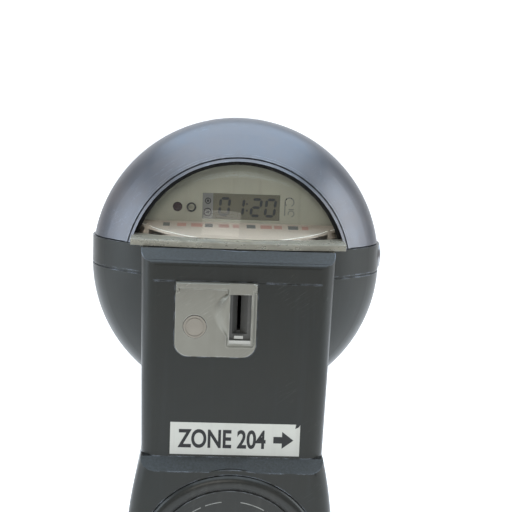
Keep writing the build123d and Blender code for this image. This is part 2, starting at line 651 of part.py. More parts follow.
def coin_plate():
    plate = plate_outline(0, PLATE_FRONT, PLATE_BACK)
    lip_top = PLATE_TOP
    lip = block(PLATE_LEFT, PLATE_RIGHT, PLATE_FRONT - PLATE_LIP_PROUD, PLATE_FRONT,
                lip_top - PLATE_LIP_HEIGHT, lip_top)
    lip = fillet(lip.edges().filter_by(Axis.X).group_by(Axis.Y)[0], 1.2)
    plate += lip
    for x in (PLATE_LEFT, PLATE_RIGHT - 3):
        plate += block(x, x + 3, PLATE_FRONT - PLATE_LIP_PROUD + 1, PLATE_FRONT,
                       lip_top - PLATE_LIP_HEIGHT - 3, lip_top - PLATE_LIP_HEIGHT)
    ridge = block(INSERT_LEFT - 6.5, INSERT_LEFT - 1.0, PLATE_FRONT - 0.9, PLATE_FRONT,
                  INSERT_BOTTOM + 3, INSERT_TOP)
    plate += fillet(ridge.edges().filter_by(Axis.Z).group_by(Axis.Y)[0], 0.8)
    plate -= block(INSERT_LEFT, INSERT_RIGHT, PLATE_FRONT - 1, PLATE_BACK + 1, INSERT_BOTTOM, INSERT_TOP)
    plate -= rod("Y", BUTTON_R + SLIDE_FIT, PLATE_FRONT - 1, PLATE_BACK + 1, BUTTON_X, BUTTON_Z)
    for x, z in plate_screw_places():
        plate -= rod("Y", PLATE_SCREW_R, PLATE_FRONT + 0.8, PLATE_BACK + 1, x, z)
    return plate


def coin_plate_screws():
    screws = []
    wall_inside = NECK_FRONT + BODY_WALL
    for x, z in plate_screw_places():
        shank = rod("Y", PLATE_SCREW_R, PLATE_FRONT + 0.8, wall_inside, x, z)
        screws.append(shank + rod("Y", 2 * PLATE_SCREW_R, wall_inside, wall_inside + 2.0, x, z))
    return group(screws)


def coin_slot_insert():
    """Metal insert with sloped cheeks that lead a coin into the slot."""
    insert = block(INSERT_LEFT, INSERT_RIGHT, PLATE_FRONT, INSERT_BACK, INSERT_BOTTOM, INSERT_TOP)
    floor = PLATE_FRONT + 4.0
    half = SLOT_WIDTH / 2
    cheeks = Polyline([(INSERT_LEFT + 1.0, PLATE_FRONT - 1), (SLOT_X - half, floor),
                       (SLOT_X + half, floor), (INSERT_RIGHT - 1.0, PLATE_FRONT - 1)], close=True)
    foot = SLOT_TOP - SLOT_LENGTH - 1.5
    insert -= extrude(Pos(0, 0, foot) * make_face(cheeks), INSERT_TOP - foot + 1)
    insert -= block(SLOT_X - half, SLOT_X + half, PLATE_FRONT - 1, INSERT_BACK + 1,
                    SLOT_TOP - SLOT_LENGTH, SLOT_TOP)
    ledge = block(INSERT_LEFT - 0.8, INSERT_RIGHT + 1.2, PLATE_FRONT - LEDGE_PROUD, PLATE_FRONT,
                  INSERT_BOTTOM - 1.0, INSERT_BOTTOM + 2.4)
    tab = block(SLOT_X - 3, SLOT_X + 3, PLATE_FRONT - 1.4, PLATE_FRONT,
                INSERT_BOTTOM + 3.4, INSERT_BOTTOM + 5.4)
    return insert + ledge + tab


def coin_button():
    """Round button with a flange behind the plate and a stem that carries the spring."""
    button = rod("Y", BUTTON_R, PLATE_FRONT - 0.6, PLATE_BACK + SLIDE_FIT, BUTTON_X, BUTTON_Z)
    groove = tube("Y", BUTTON_R - 1.2, BUTTON_R - 1.8, PLATE_FRONT - 1, PLATE_FRONT, BUTTON_X, BUTTON_Z)
    flange = rod("Y", BUTTON_R + 1.9, PLATE_BACK + 0.1, PLATE_BACK + 1.5, BUTTON_X, BUTTON_Z)
    stem = rod("Y", BUTTON_STEM_R, PLATE_BACK + 1.5, carrier_end() + 1.0, BUTTON_X, BUTTON_Z)
    return button - groove + flange + stem


def carrier_end():
    return PLATE_BACK + 13.0


def button_carrier():
    """Cup on the back of the plate; its end wall guides the stem and seats the spring."""
    end = carrier_end()
    cup = tube("Y", CARRIER_R, BUTTON_R + 1.9 + SLIDE_FIT, PLATE_BACK, end, BUTTON_X, BUTTON_Z)
    wall = tube("Y", CARRIER_R, BUTTON_STEM_R + RUN_FIT, end - 1.5, end, BUTTON_X, BUTTON_Z)
    return cup + wall


def button_spring():
    """Coil spring round the stem, from the button's flange to the cup's end wall."""
    start, end = PLATE_BACK + 1.5, carrier_end() - 1.5
    wire, radius, turns = 0.45, 4.6, 5
    length = end - start - 2 * wire
    helix = Helix(pitch=length / turns, height=length, radius=radius)
    section = Plane(origin=helix @ 0, z_dir=helix % 0) * Circle(wire)
    coil = sweep(section, path=helix, is_frenet=True)
    return Pos(BUTTON_X, start + wire, BUTTON_Z) * Rot(-90, 0, 0) * coil


def direction_label():
    """Thin label on the neck's front, with a torn notch in its upper right corner."""
    label = block(LABEL_LEFT, LABEL_RIGHT, NECK_FRONT - LABEL_WALL, NECK_FRONT, LABEL_BOTTOM, LABEL_TOP)
    notch = Polyline([(LABEL_RIGHT - 2.6, LABEL_TOP + 1), (LABEL_RIGHT - 3.4, LABEL_TOP - 3.2),
                      (LABEL_RIGHT - 1.2, LABEL_TOP - 2.0), (LABEL_RIGHT + 1, LABEL_TOP + 1)], close=True)
    plane = Plane(origin=(0, NECK_FRONT - 2, 0), x_dir=(1, 0, 0), z_dir=(0, -1, 0))
    return label - extrude(plane * make_face(notch), -4)


# ---- Coin path -----------------------------------------------------------------------------

def chute_profile(inset):
    """Side view of the chute: a sloping entry behind the slot, then a drop to the funnel."""
    top, low = SLOT_TOP + 3.2 - inset, SLOT_TOP - SLOT_LENGTH - 3.2 + inset
    front = INSERT_BACK if inset == 0 else INSERT_BACK - 1
    bottom = CHUTE_BOTTOM if inset == 0 else CHUTE_BOTTOM - 1
    right, left = 16.0 - inset, -16.0 + inset
    return [(front, top), (-34 + inset * 0.3, top), (right, SLOT_TOP - 27.6), (right, bottom), (left, bottom),
            (left, SLOT_TOP - 43.6 - inset * 0.3), (-52, low), (front, low)]


def coin_chute(side):
    """One half of the chute, a moulding with half of the coin channel in it."""
    outer = SLOT_X + side * CHUTE_HALF
    channel = SLOT_X + side * CHANNEL_HALF
    half = side_prism(chute_profile(0), *sorted((SLOT_X, outer)))
    return half - side_prism(chute_profile(2.4), *sorted((SLOT_X - side, channel)))


def coin_sensor_coils():
    coils = []
    for side in (-1, 1):
        start = SLOT_X + side * CHUTE_HALF
        x0, x1 = sorted((start, start + side * 3.0))
        coils.append(tube("X", COIL_R, 2.5, x0, x1, -46, (SLOT_TOP + SLOT_TOP - SLOT_LENGTH) / 2))
    return group(coils)


def coin_funnel():
    x0, x1, y0, y1 = APERTURE
    floor_top = NECK_BASE_Z + NECK_FLOOR
    gap = 1.0
    spout = block(x0 + gap, x1 - gap, y0 + gap, y1 - gap, FUNNEL_BOTTOM, floor_top + FUNNEL_WALL)
    flange = block(x0 - 8, x1 + 8, y0 - 7, y1 + 7, floor_top, floor_top + FUNNEL_WALL)
    wall = gap + FUNNEL_WALL
    return spout + flange - block(x0 + wall, x1 - wall, y0 + wall, y1 - wall,
                                  FUNNEL_BOTTOM - 1, floor_top + FUNNEL_WALL + 1)


# ---- Mechanism module ----------------------------------------------------------------------

def mechanism_frame():
    base = block(-FRAME_HALF_X, FRAME_HALF_X, -FRAME_HALF_Y, FRAME_HALF_Y, FRAME_Z, FRAME_TOP)
    base &= band(BODY_WALL + 1, None, FRAME_Z, FRAME_TOP)
    for x, y in module_boss_places():
        base -= rod("Z", 2.2, FRAME_Z - 1, FRAME_TOP + 1, x, y)
    # A lip along the front and rear edge stiffens the base and backs the two faceplates.
    for y0, y1 in ((FACE_FRONT + FACE_WALL, FACE_FRONT + FACE_WALL + 2), (REAR_PLATE_Y - 2, REAR_PLATE_Y)):
        base += block(-60, 60, y0, y1, FRAME_TOP, FRAME_TOP + 8)
    return base


def module_screws():
    screws = []
    for x, y in module_boss_places():
        head = rod("Z", 3.8, FRAME_TOP, FRAME_TOP + 2.6, x, y)
        screws.append(head + rod("Z", 2.0, FRAME_Z - MODULE_BOSS + 2, FRAME_TOP, x, y))
    return group(screws)


def faceplate():
    plate = arch(FACE_R, FACE_FRONT, FACE_FRONT + FACE_WALL, FRAME_TOP)
    plate &= block(-FACE_HALF, FACE_HALF, -FAR, FAR, 0, 2 * FAR)
    plate -= block(DISPLAY_LEFT, DISPLAY_RIGHT, FACE_FRONT - 1, FACE_FRONT + FACE_WALL + 1,
                   DISPLAY_BOTTOM, DISPLAY_TOP)
    for x, radius in ((LAMP_X, LAMP_R), (SENSOR_X, SENSOR_R)):
        plate -= rod("Y", radius, FACE_FRONT - 1, FACE_FRONT + FACE_WALL + 1, x, LAMP_Z)
    return plate


def display_module():
    back = FACE_FRONT + FACE_WALL
    case = block(DISPLAY_LEFT - 3, DISPLAY_RIGHT + 3, back, BOARD_FRONT, DISPLAY_BOTTOM - 3, DISPLAY_TOP + 3)
    glass = block(DISPLAY_LEFT + 0.1, DISPLAY_RIGHT - 0.1, FACE_FRONT + 0.5, back,
                  DISPLAY_BOTTOM + 0.1, DISPLAY_TOP - 0.1)
    return case + glass


def status_lamp():
    lens = rod("Y", LAMP_R, FACE_FRONT - 0.6, BOARD_FRONT, LAMP_X, LAMP_Z)
    return fillet(lens.edges().group_by(Axis.Y)[0], 0.5)


def light_sensor():
    body = rod("Y", SENSOR_R, FACE_FRONT - 0.8, BOARD_FRONT, SENSOR_X, LAMP_Z)
    return body - rod("Y", SENSOR_R - 1.8, FACE_FRONT - 1, FACE_FRONT + 1.2, SENSOR_X, LAMP_Z)


def rate_strip():
    """Sloped label strip between the faceplate and the window, with a post at each end."""
    points = [(FACE_FRONT, STRIP_BACK_Z), (STRIP_FRONT, STRIP_FRONT_Z),
              (STRIP_FRONT, STRIP_FRONT_Z - STRIP_WALL), (FACE_FRONT, STRIP_BACK_Z - STRIP_WALL)]
    strip = side_prism(points, -STRIP_HALF, STRIP_HALF)
    web = side_prism([(FACE_FRONT, STRIP_BACK_Z - 1), (FACE_FRONT, FRAME_TOP + 14),
                      (FACE_FRONT - 1.5, FRAME_TOP + 14), (FACE_FRONT - 1.5, STRIP_BACK_Z - 1)],
                     -STRIP_HALF, STRIP_HALF)
    for side in (-1, 1):
        x0, x1 = sorted((side * (STRIP_HALF - 6.5), side * (STRIP_HALF - 2.5)))
        strip += block(x0, x1, -42, -36, SEAM_Z + 5, STRIP_BACK_Z - 1.5)
    return (strip + web) & head_solid(RETAINER_SHRINK + 1.2)


def main_circuit_board():
    return arch(BOARD_R, BOARD_FRONT, BOARD_FRONT + BOARD_WALL, FRAME_TOP + 9)


def board_spacers():
    places = [(sx * x, z) for sx in (-1, 1) for x, z in ((54.0, SEAM_Z - 1.5), (42.0, SEAM_Z + 32.5))]
    return group([rod("Y", 2.5, FACE_FRONT + FACE_WALL, BOARD_FRONT, x, z) for x, z in places])


def cell_places():
    pitch = 2 * CELL_R + 1.4
    return [(index - 1.5) * pitch for index in range(4)]


def battery_cells():
    cells = []
    for x in cell_places():
        can = rod("Z", CELL_R, FRAME_TOP + 2, FRAME_TOP + 2 + CELL_LENGTH, x, CELL_Y)
        top = FRAME_TOP + 2 + CELL_LENGTH
        cells.append(can + rod("Z", 3.0, top, top + 1.2, x, CELL_Y))
    return group(cells)


def battery_tray():
    half_x = 2 * (2 * CELL_R + 1.4) + 1.2
    tray = block(-half_x, half_x, CELL_Y - CELL_R - 1.6, CELL_Y + CELL_R + 1.6, FRAME_TOP, FRAME_TOP + 16)
    for x in cell_places():
        tray -= rod("Z", CELL_R + 0.2, FRAME_TOP + 2, FRAME_TOP + 20, x, CELL_Y)
    return tray


def rear_plate():
    plate = arch(REAR_PLATE_R, REAR_PLATE_Y, REAR_PLATE_Y + FACE_WALL, FRAME_TOP)
    for x in (-REAR_LAMP_X, REAR_LAMP_X):
        plate -= rod("Y", REAR_LAMP_R, REAR_PLATE_Y - 1, REAR_PLATE_Y + FACE_WALL + 1, x, REAR_LAMP_Z)
    return plate


def rear_lamps():
    lamps = []
    for x in (-REAR_LAMP_X, REAR_LAMP_X):
        lens = rod("Y", REAR_LAMP_R, REAR_PLATE_Y - 3, REAR_PLATE_Y + FACE_WALL + 3, x, REAR_LAMP_Z)
        lamps.append(fillet(lens.edges().group_by(Axis.Y)[-1], 2.0))
    return group(lamps)


# ---- Vault door, lock, bolts and coin can --------------------------------------------------

def vault_door():
    """Turned door: a flat face inside a rounded rim, and a spigot behind the flange."""
    rim_in = DOOR_R - DOOR_RIM
    face = VAULT_FRONT - 1.2
    crown = VAULT_FRONT - DOOR_PROUD
    edge = VAULT_FRONT - 0.4
    back = DOOR_SEAT - 0.2
    spigot_r, spigot_back = CAVITY_R - 0.7, BOLT_FRONT - 1.0
    outline = [
        Line((0, face), (rim_in - 1.6, face)),
        Line((rim_in - 1.6, face), (rim_in - 1.6, face + 1.4)),
        Line((rim_in - 1.6, face + 1.4), (rim_in, face + 1.4)),
        Line((rim_in, face + 1.4), (rim_in, face - 0.4)),
        ThreePointArc((rim_in, face - 0.4), (rim_in + DOOR_RIM * 0.45, crown), (DOOR_R, edge)),
        Line((DOOR_R, edge), (DOOR_R, back)),
        Line((DOOR_R, back), (spigot_r, back)),
        Line((spigot_r, back), (spigot_r, spigot_back)),
        Line((spigot_r, spigot_back), (0, spigot_back)),
        Line((0, spigot_back), (0, face)),
    ]
    door = Pos(0, 0, DOOR_Z) * revolve(make_face(Curve() + outline), axis=Axis.Y)
    door += rod("Y", VAULT_LOCK_R + 4, face - 1.6, face + 1, 0, DOOR_Z)
    door -= rod("Y", VAULT_LOCK_R, VAULT_FRONT - 10, spigot_back + 1, 0, DOOR_Z)
    for x, z in guide_screw_places():
        door -= rod("Y", 1.6, spigot_back - 4, spigot_back + 1, x, z)
    groove = tube("Y", DOOR_R - 2.0, DOOR_R - 4.4, back - 1.6, back + 1, 0, DOOR_Z)
    return door - groove


def door_seal():
    back = DOOR_SEAT - 0.2
    return tube("Y", DOOR_R - 2.0, DOOR_R - 4.4, back - 1.6, back + 0.1, 0, DOOR_Z)


def guide_screw_places():
    return [(sx * 38.0, DOOR_Z + sz * 11.0) for sx in (-1, 1) for sz in (-1, 1)]


def bolt_guide():
    """Plate behind the bolts, held off the door by two rails on each side."""
    spigot_back = BOLT_FRONT - 1.0
    rear = BOLT_REAR + 0.7
    plate = block(-GUIDE_HALF, GUIDE_HALF, rear, rear + GUIDE_WALL, DOOR_Z - 15, DOOR_Z + 15)
    for sx in (-1, 1):
        for sz in (-1, 1):
            x0, x1 = sorted((sx * 18, sx * GUIDE_HALF))
            z0, z1 = sorted((sz * (BOLT_HALF + SLIDE_FIT), sz * 15))
            plate += block(x0, x1, spigot_back, rear, DOOR_Z + z0, DOOR_Z + z1)
    for x, z in guide_screw_places():
        plate -= rod("Y", 1.6, spigot_back - 1, rear + GUIDE_WALL + 1, x, z)
    return plate


def guide_screws():
    rear = BOLT_REAR + 0.7 + GUIDE_WALL
    screws = []
    for x, z in guide_screw_places():
        screws.append(rod("Y", 1.6, BOLT_FRONT - 5, rear, x, z) + rod("Y", 2.9, rear, rear + 2, x, z))
    return group(screws)


def vault_lock_body():
    front, rear = VAULT_FRONT - 4.0, BOLT_FRONT - 1.0
    return tube("Y", VAULT_LOCK_R, VAULT_PLUG_R + RUN_FIT, front, rear, 0, DOOR_Z)


def vault_lock_plug():
    front = VAULT_FRONT - 4.0
    plug = rod("Y", VAULT_PLUG_R, front, BOLT_FRONT, 0, DOOR_Z)
    plug -= tube("Y", 5.4, 3.4, front - 1, front + 7, 0, DOOR_Z)
    return plug - block(-1.0, 1.0, front - 1, front + 7, DOOR_Z + 4.4, DOOR_Z + 6.8)


def vault_lock_cam():
    """Long-oval cam that stands upright when open and drives the bolts out when turned."""
    y0, y1 = BOLT_FRONT, BOLT_REAR
    cam = block(-4, 4, y0, y1, DOOR_Z - 7, DOOR_Z + 7)
    return cam + rod("Y", 4, y0, y1, 0, DOOR_Z - 7) + rod("Y", 4, y0, y1, 0, DOOR_Z + 7)


def vault_bolt(side):
    x0, x1 = sorted((side * BOLT_TAIL, side * BOLT_TIP))
    return block(x0, x1, BOLT_FRONT + 0.3, BOLT_REAR, DOOR_Z - BOLT_HALF, DOOR_Z + BOLT_HALF)


def coin_can():
    outer = CAVITY_R - SLIDE_FIT
    can = rod("Y", outer, CAN_FRONT, CAN_REAR, 0, DOOR_Z)
    can -= rod("Y", outer - CAN_WALL, CAN_FRONT - 1, CAN_REAR - CAN_WALL, 0, DOOR_Z)
    return can - block(INLET_LEFT, INLET_RIGHT, -INLET_HALF, INLET_HALF, DOOR_Z, DOOR_Z + FAR)


def can_lid():
    outer = CAVITY_R - SLIDE_FIT
    lid = rod("Y", outer, CAN_FRONT - 1.5, CAN_FRONT, 0, DOOR_Z)
    return lid + tube("Y", outer - CAN_WALL, outer - CAN_WALL - 1.5, CAN_FRONT, CAN_FRONT + 6, 0, DOOR_Z)


def can_handle():
    """Flat pull bridged over the lid on two feet."""
    front = CAN_FRONT - 1.5
    handle = block(-24, 24, front - 7.5, front - 5.5, DOOR_Z - 8, DOOR_Z + 8)
    for x0, x1 in ((-24, -22), (22, 24)):
        handle += block(x0, x1, front - 6, front, DOOR_Z - 8, DOOR_Z + 8)
    for x0, x1 in ((-34, -22), (22, 34)):
        handle += block(x0, x1, front - 2, front, DOOR_Z - 8, DOOR_Z + 8)
    return handle


PARTS = {
    "lower_housing": lower_housing,
    "vault_housing": vault_housing,
    "neck_bolts": neck_bolts,
    "collar_set_screws": collar_set_screws,
    "dome_seal": dome_seal,
    "hinge_pin": hinge_pin,
    "dome_lock_body": dome_lock_body,
    "dome_lock_nut": dome_lock_nut,
    "dome_lock_plug": dome_lock_plug,
    "dome_lock_cam": dome_lock_cam,
    "dome_cover": dome_cover,
    "lock_keeper": lock_keeper,
    "front_window": front_window,
    "front_gasket": front_gasket,
    "front_retainer": front_retainer,
    "rear_window": rear_window,
    "rear_gasket": rear_gasket,
    "rear_retainer": rear_retainer,
    "retainer_screws": retainer_screws,
    "coin_plate": coin_plate,
    "coin_plate_screws": coin_plate_screws,
    "coin_slot_insert": coin_slot_insert,
    "coin_button": coin_button,
    "button_carrier": button_carrier,
    "button_spring": button_spring,
    "direction_label": direction_label,
    "coin_chute_left": lambda: coin_chute(-1),
    "coin_chute_right": lambda: coin_chute(1),
    "coin_sensor_coils": coin_sensor_coils,
    "coin_funnel": coin_funnel,
    "mechanism_frame": mechanism_frame,
    "module_screws": module_screws,
    "faceplate": faceplate,
    "display_module": display_module,
    "status_lamp": status_lamp,
    "light_sensor": light_sensor,
    "rate_strip": rate_strip,
    "main_circuit_board": main_circuit_board,
    "board_spacers": board_spacers,
    "battery_cells": battery_cells,
    "battery_tray": battery_tray,
    "rear_plate": rear_plate,
    "rear_lamps": rear_lamps,
    "vault_door": vault_door,
    "door_seal": door_seal,
    "bolt_guide": bolt_guide,
    "guide_screws": guide_screws,
    "vault_lock_body": vault_lock_body,
    "vault_lock_plug": vault_lock_plug,
    "vault_lock_cam": vault_lock_cam,
    "left_bolt": lambda: vault_bolt(-1),
    "right_bolt": lambda: vault_bolt(1),
    "coin_can": coin_can,
    "can_lid": can_lid,
    "can_handle": can_handle,
}

os.makedirs("parts", exist_ok=True)
for name, make in PARTS.items():
    export_step(make(), f"parts/{name}.step")
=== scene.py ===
# %% [markdown]
# # A kerbside parking meter
# The meter is two grey castings, a hinged dome with a clear window, and a round-doored coin
# vault. Its engineering model already fixes every size and every joint. This lesson dresses
# that model: the model's parts stay where they are, and each surface that shows gets either a
# better finish or a finer mesh that rides on the same body.

# %% Load the frame
import json
import math

import bmesh
import bpy
import numpy as np
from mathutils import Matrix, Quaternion, Vector


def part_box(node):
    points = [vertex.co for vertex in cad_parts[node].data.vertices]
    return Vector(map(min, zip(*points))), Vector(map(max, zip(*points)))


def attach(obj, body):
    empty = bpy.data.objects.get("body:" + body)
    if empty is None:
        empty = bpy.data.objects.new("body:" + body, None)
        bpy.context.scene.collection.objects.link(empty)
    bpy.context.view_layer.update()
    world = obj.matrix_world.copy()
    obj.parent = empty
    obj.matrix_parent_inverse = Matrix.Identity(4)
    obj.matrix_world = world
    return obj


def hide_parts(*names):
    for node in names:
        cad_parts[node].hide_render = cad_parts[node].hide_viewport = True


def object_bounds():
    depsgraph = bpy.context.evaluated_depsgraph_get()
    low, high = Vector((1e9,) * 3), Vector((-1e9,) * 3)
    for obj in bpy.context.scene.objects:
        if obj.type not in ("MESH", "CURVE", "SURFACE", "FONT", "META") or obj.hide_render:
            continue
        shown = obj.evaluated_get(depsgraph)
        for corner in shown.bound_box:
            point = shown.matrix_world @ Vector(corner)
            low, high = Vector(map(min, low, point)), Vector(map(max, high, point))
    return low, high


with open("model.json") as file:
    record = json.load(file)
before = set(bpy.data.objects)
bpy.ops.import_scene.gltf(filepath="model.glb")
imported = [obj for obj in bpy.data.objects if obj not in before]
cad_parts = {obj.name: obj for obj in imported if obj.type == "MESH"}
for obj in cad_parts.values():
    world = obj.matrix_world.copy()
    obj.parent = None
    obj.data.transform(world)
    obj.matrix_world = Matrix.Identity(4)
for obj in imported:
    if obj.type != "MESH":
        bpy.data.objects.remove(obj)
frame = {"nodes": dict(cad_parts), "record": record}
nodes = frame["nodes"]
cad_low, cad_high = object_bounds()
print("model box, mm:", [round(v * 1000, 1) for v in (*cad_low, *cad_high)])

# %% [markdown]
# ## The head's own shape
# The head is a thick lens turned about the Y axis. Two arcs give its profile: a wide cap
# sphere in front and behind, and a small rim circle between them. Everything on the dome is
# placed on that surface, so it is written down once, with a `sink` that moves it inwards.

# %% Measures that the pieces share
MM = 0.001
HEAD_R = (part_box("lower_housing")[1].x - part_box("lower_housing")[0].x) / 2
HEAD_Z = cad_high.z - HEAD_R
HEAD_DEPTH = 68.0 * MM
RIM_ROUND = 40.0 * MM
RIM_CENTRE = HEAD_R - RIM_ROUND
CAP_R = (RIM_CENTRE ** 2 + HEAD_DEPTH ** 2 - RIM_ROUND ** 2) / (2 * (HEAD_DEPTH - RIM_ROUND))
CAP_BACK = CAP_R - HEAD_DEPTH
SEAM_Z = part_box("dome_seal")[0].z
NECK_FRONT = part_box("direction_label")[1].y
print("head radius %.1f mm, centre %.1f mm up" % (HEAD_R / MM, HEAD_Z / MM))


def cap_y(x, z, sink=0.0):
    """Front cap: y = back - sqrt((cap radius - sink)^2 - distance from the head's axis^2)."""
    from_axis = np.asarray(x) ** 2 + (np.asarray(z) - HEAD_Z) ** 2
    return CAP_BACK - np.sqrt(np.maximum((CAP_R - sink) ** 2 - from_axis, 0.0))


# %% [markdown]
# ## Camera first
# The camera stands three quarters of a metre from the head, a little to its left and nine
# degrees above it, and leans two degrees. A 71.5 mm lens keeps the neck's sides upright.

# %% Camera
def look(azimuth, elevation):
    """Unit vector from the object to the camera; azimuth 0 is straight in front."""
    a, e = math.radians(azimuth), math.radians(elevation)
    return Vector((math.sin(a) * math.cos(e), -math.cos(a) * math.cos(e), math.sin(e)))


CAMERA_DISTANCE = 745 * MM
CAMERA_AZIMUTH, CAMERA_ELEVATION = -2.7, 9.0
LENS_MM, SENSOR_MM = 71.5, 36.0
HEAD_LEFT = 14.65 * MM          # the head stands this far left of the view's axis
HEAD_BELOW = 3.66 * MM          # and this far below it
CAMERA_LEAN = math.radians(2.2)

camera_data = bpy.data.cameras.new("street_camera")
camera_data.lens = LENS_MM
camera_data.sensor_width = SENSOR_MM
camera = bpy.data.objects.new("street_camera", camera_data)
bpy.context.scene.collection.objects.link(camera)
bpy.context.scene.camera = camera
back = look(CAMERA_AZIMUTH, CAMERA_ELEVATION)
camera.rotation_mode = "QUATERNION"
camera.rotation_quaternion = (-back).to_track_quat("-Z", "Y") @ Quaternion((0, 0, 1), CAMERA_LEAN)
right = camera.rotation_quaternion @ Vector((1, 0, 0))
up = camera.rotation_quaternion @ Vector((0, 1, 0))
head_centre = Vector((0, 0, HEAD_Z))
camera.location = head_centre + back * CAMERA_DISTANCE + right * HEAD_LEFT + up * HEAD_BELOW
print("camera at, mm:", [round(v / MM) for v in camera.location])

# %% [markdown]
# ## Floor and light
# A pale floor that sweeps up into a backdrop needs no edge. One large cool panel overhead does
# what the sky does on a street: it lights every face that looks up and leaves the upright
# fronts dark, which is how satin metal shows its shape. A narrow panel on each side draws
# light along the edges, and a weak warm one in front opens up the face.

# %% Stage
def new_mesh(name, points, faces, smooth=True):
    """Object from an array of points and an array of faces, linked and smooth shaded."""
    mesh = bpy.data.meshes.new(name)
    mesh.from_pydata(np.asarray(points, float).tolist(), [], [list(map(int, f)) for f in faces])
    mesh.polygons.foreach_set("use_smooth", np.full(len(mesh.polygons), smooth))
    mesh.update()
    piece = bpy.data.objects.new(name, mesh)
    bpy.context.scene.collection.objects.link(piece)
    return piece


def grid_faces(rows, columns, close_rows=False, close_columns=False):
    """Quads between neighbours of a rows by columns grid whose points run row by row."""
    r = np.arange(rows if close_rows else rows - 1)[:, None]
    c = np.arange(columns if close_columns else columns - 1)[None, :]
    here = r * columns + c
    right_ = r * columns + (c + 1) % columns
    below_ = ((r + 1) % rows) * columns + c
    across = ((r + 1) % rows) * columns + (c + 1) % columns
    return np.stack([here, right_, across, below_], -1).reshape(-1, 4)


def sweep_up_floor(half_width=3.0, front=-2.4, bend=1.6, radius=1.2, height=3.0, steps=24):
    """Profile: flat floor, a quarter circle of the given radius, then an upright wall."""
    turn = np.linspace(0, np.pi / 2, steps)
    y = np.r_[front, bend + radius * np.sin(turn), bend + radius]
    z = np.r_[0.0, radius * (1 - np.cos(turn)), height]
    x = np.array([-half_width, half_width])
    points = np.stack([np.broadcast_to(x, (len(y), 2)), np.repeat(y[:, None], 2, 1),
                       np.repeat(z[:, None], 2, 1)], -1).reshape(-1, 3)
    return new_mesh("studio_floor", points, grid_faces(len(y), 2))


floor = sweep_up_floor()
PAPER_WHITE = (0.90, 0.90, 0.90, 1.0)
ROOM_COLOUR, ROOM_STRENGTH = (0.93, 0.95, 1.0, 1.0), 0.32
PAPER_GLOW = 0.45               # lifts the backdrop to white without a stronger lamp
paper = bpy.data.materials.new("studio_paper")
paper.use_nodes = True
paper_shader = paper.node_tree.nodes["Principled BSDF"]
paper_shader.inputs["Base Color"].default_value = PAPER_WHITE
paper_shader.inputs["Roughness"].default_value = 0.95
paper_shader.inputs["Emission Color"].default_value = (1.0, 1.0, 1.0, 1.0)
paper_shader.inputs["Emission Strength"].default_value = PAPER_GLOW
floor.data.materials.append(paper)


def panel(name, place, target, width, height, watts, colour):
    """Rectangular soft light that faces a target."""
    lamp = bpy.data.lights.new(name, "AREA")
    lamp.shape = "RECTANGLE"
    lamp.size, lamp.size_y = width, height
    lamp.energy = watts
    lamp.color = colour
    holder = bpy.data.objects.new(name, lamp)
    holder.location = place
    holder.rotation_mode = "QUATERNION"
    holder.rotation_quaternion = (Vector(target) - Vector(place)).to_track_quat("-Z", "Y")
    bpy.context.scene.collection.objects.link(holder)
    return holder


panel("sky_panel", (0, 0.15, 1.9), head_centre, 2.4, 2.2, 36, (0.72, 0.86, 1.0))
panel("left_panel", (-1.9, -0.35, 0.75), head_centre, 0.7, 1.4, 11, (0.75, 0.87, 1.0))
panel("right_panel", (1.7, -0.15, 0.85), head_centre, 0.5, 1.4, 11, (0.85, 0.93, 1.0))
panel("front_fill", (-0.5, -2.3, 1.5), head_centre, 1.2, 0.8, 9, (1.0, 0.96, 0.90))

world = bpy.data.worlds.new("pale_room")
bpy.context.scene.world = world
world.use_nodes = True
world.node_tree.nodes["Background"].inputs["Color"].default_value = ROOM_COLOUR
world.node_tree.nodes["Background"].inputs["Strength"].default_value = ROOM_STRENGTH
bpy.context.scene.view_settings.view_transform = "Standard"
print("floor, four panels and a pale room")

# %% [markdown]
# ## Finishes are built from a few shared effects
# Bare paint looks like plastic. What makes it read as a casting that has stood outdoors is
# a fine orange-peel skin, worn metal along the edges, dust on what looks up and a few hairline
# scratches. On the housing the edge and upward masks also carry painted highlight: a pale
# blue-grey that stands in for sky light on its edges and shelf. Each effect is one node group
# with named inputs, and each gives out only a mask or a height, so the shader itself stays in
# the material.

# %% Helper to wire node trees
def add(tree, kind, inputs=None, **settings):
    """New node with its settings; inputs maps a socket name or number to a value or a socket."""
    node = tree.nodes.new(kind)
    for key, value in settings.items():
        setattr(node, key, value)
    for key, value in (inputs or {}).items():
        socket = node.inputs[key]
        if isinstance(value, bpy.types.NodeSocket):
            tree.links.new(value, socket)
        else:
            socket.default_value = value
    return node


def group(name, inputs, outputs):
    """Empty shader node group with float or vector inputs and the given outputs."""
    tree = bpy.data.node_groups.new(name, "ShaderNodeTree")
    for label, value in inputs.items():
        kind = "NodeSocketVector" if value is None else "NodeSocketFloat"
        socket = tree.interface.new_socket(label, in_out="INPUT", socket_type=kind)
        if value is not None:
            socket.default_value = value
    for label in outputs:
        tree.interface.new_socket(label, in_out="OUTPUT", socket_type="NodeSocketFloat")
    return tree, tree.nodes.new("NodeGroupInput"), tree.nodes.new("NodeGroupOutput")


def ramp(tree, value, low, high):
    """Value stretched so that low becomes 0 and high becomes 1, and clamped."""
    node = add(tree, "ShaderNodeMapRange", {0: value, 1: low, 2: high}, clamp=True)
    return node.outputs[0]


def math_node(tree, operation, first, second=0.0):
    """Output of one Math node."""
    return add(tree, "ShaderNodeMath", {0: first, 1: second}, operation=operation).outputs[0]


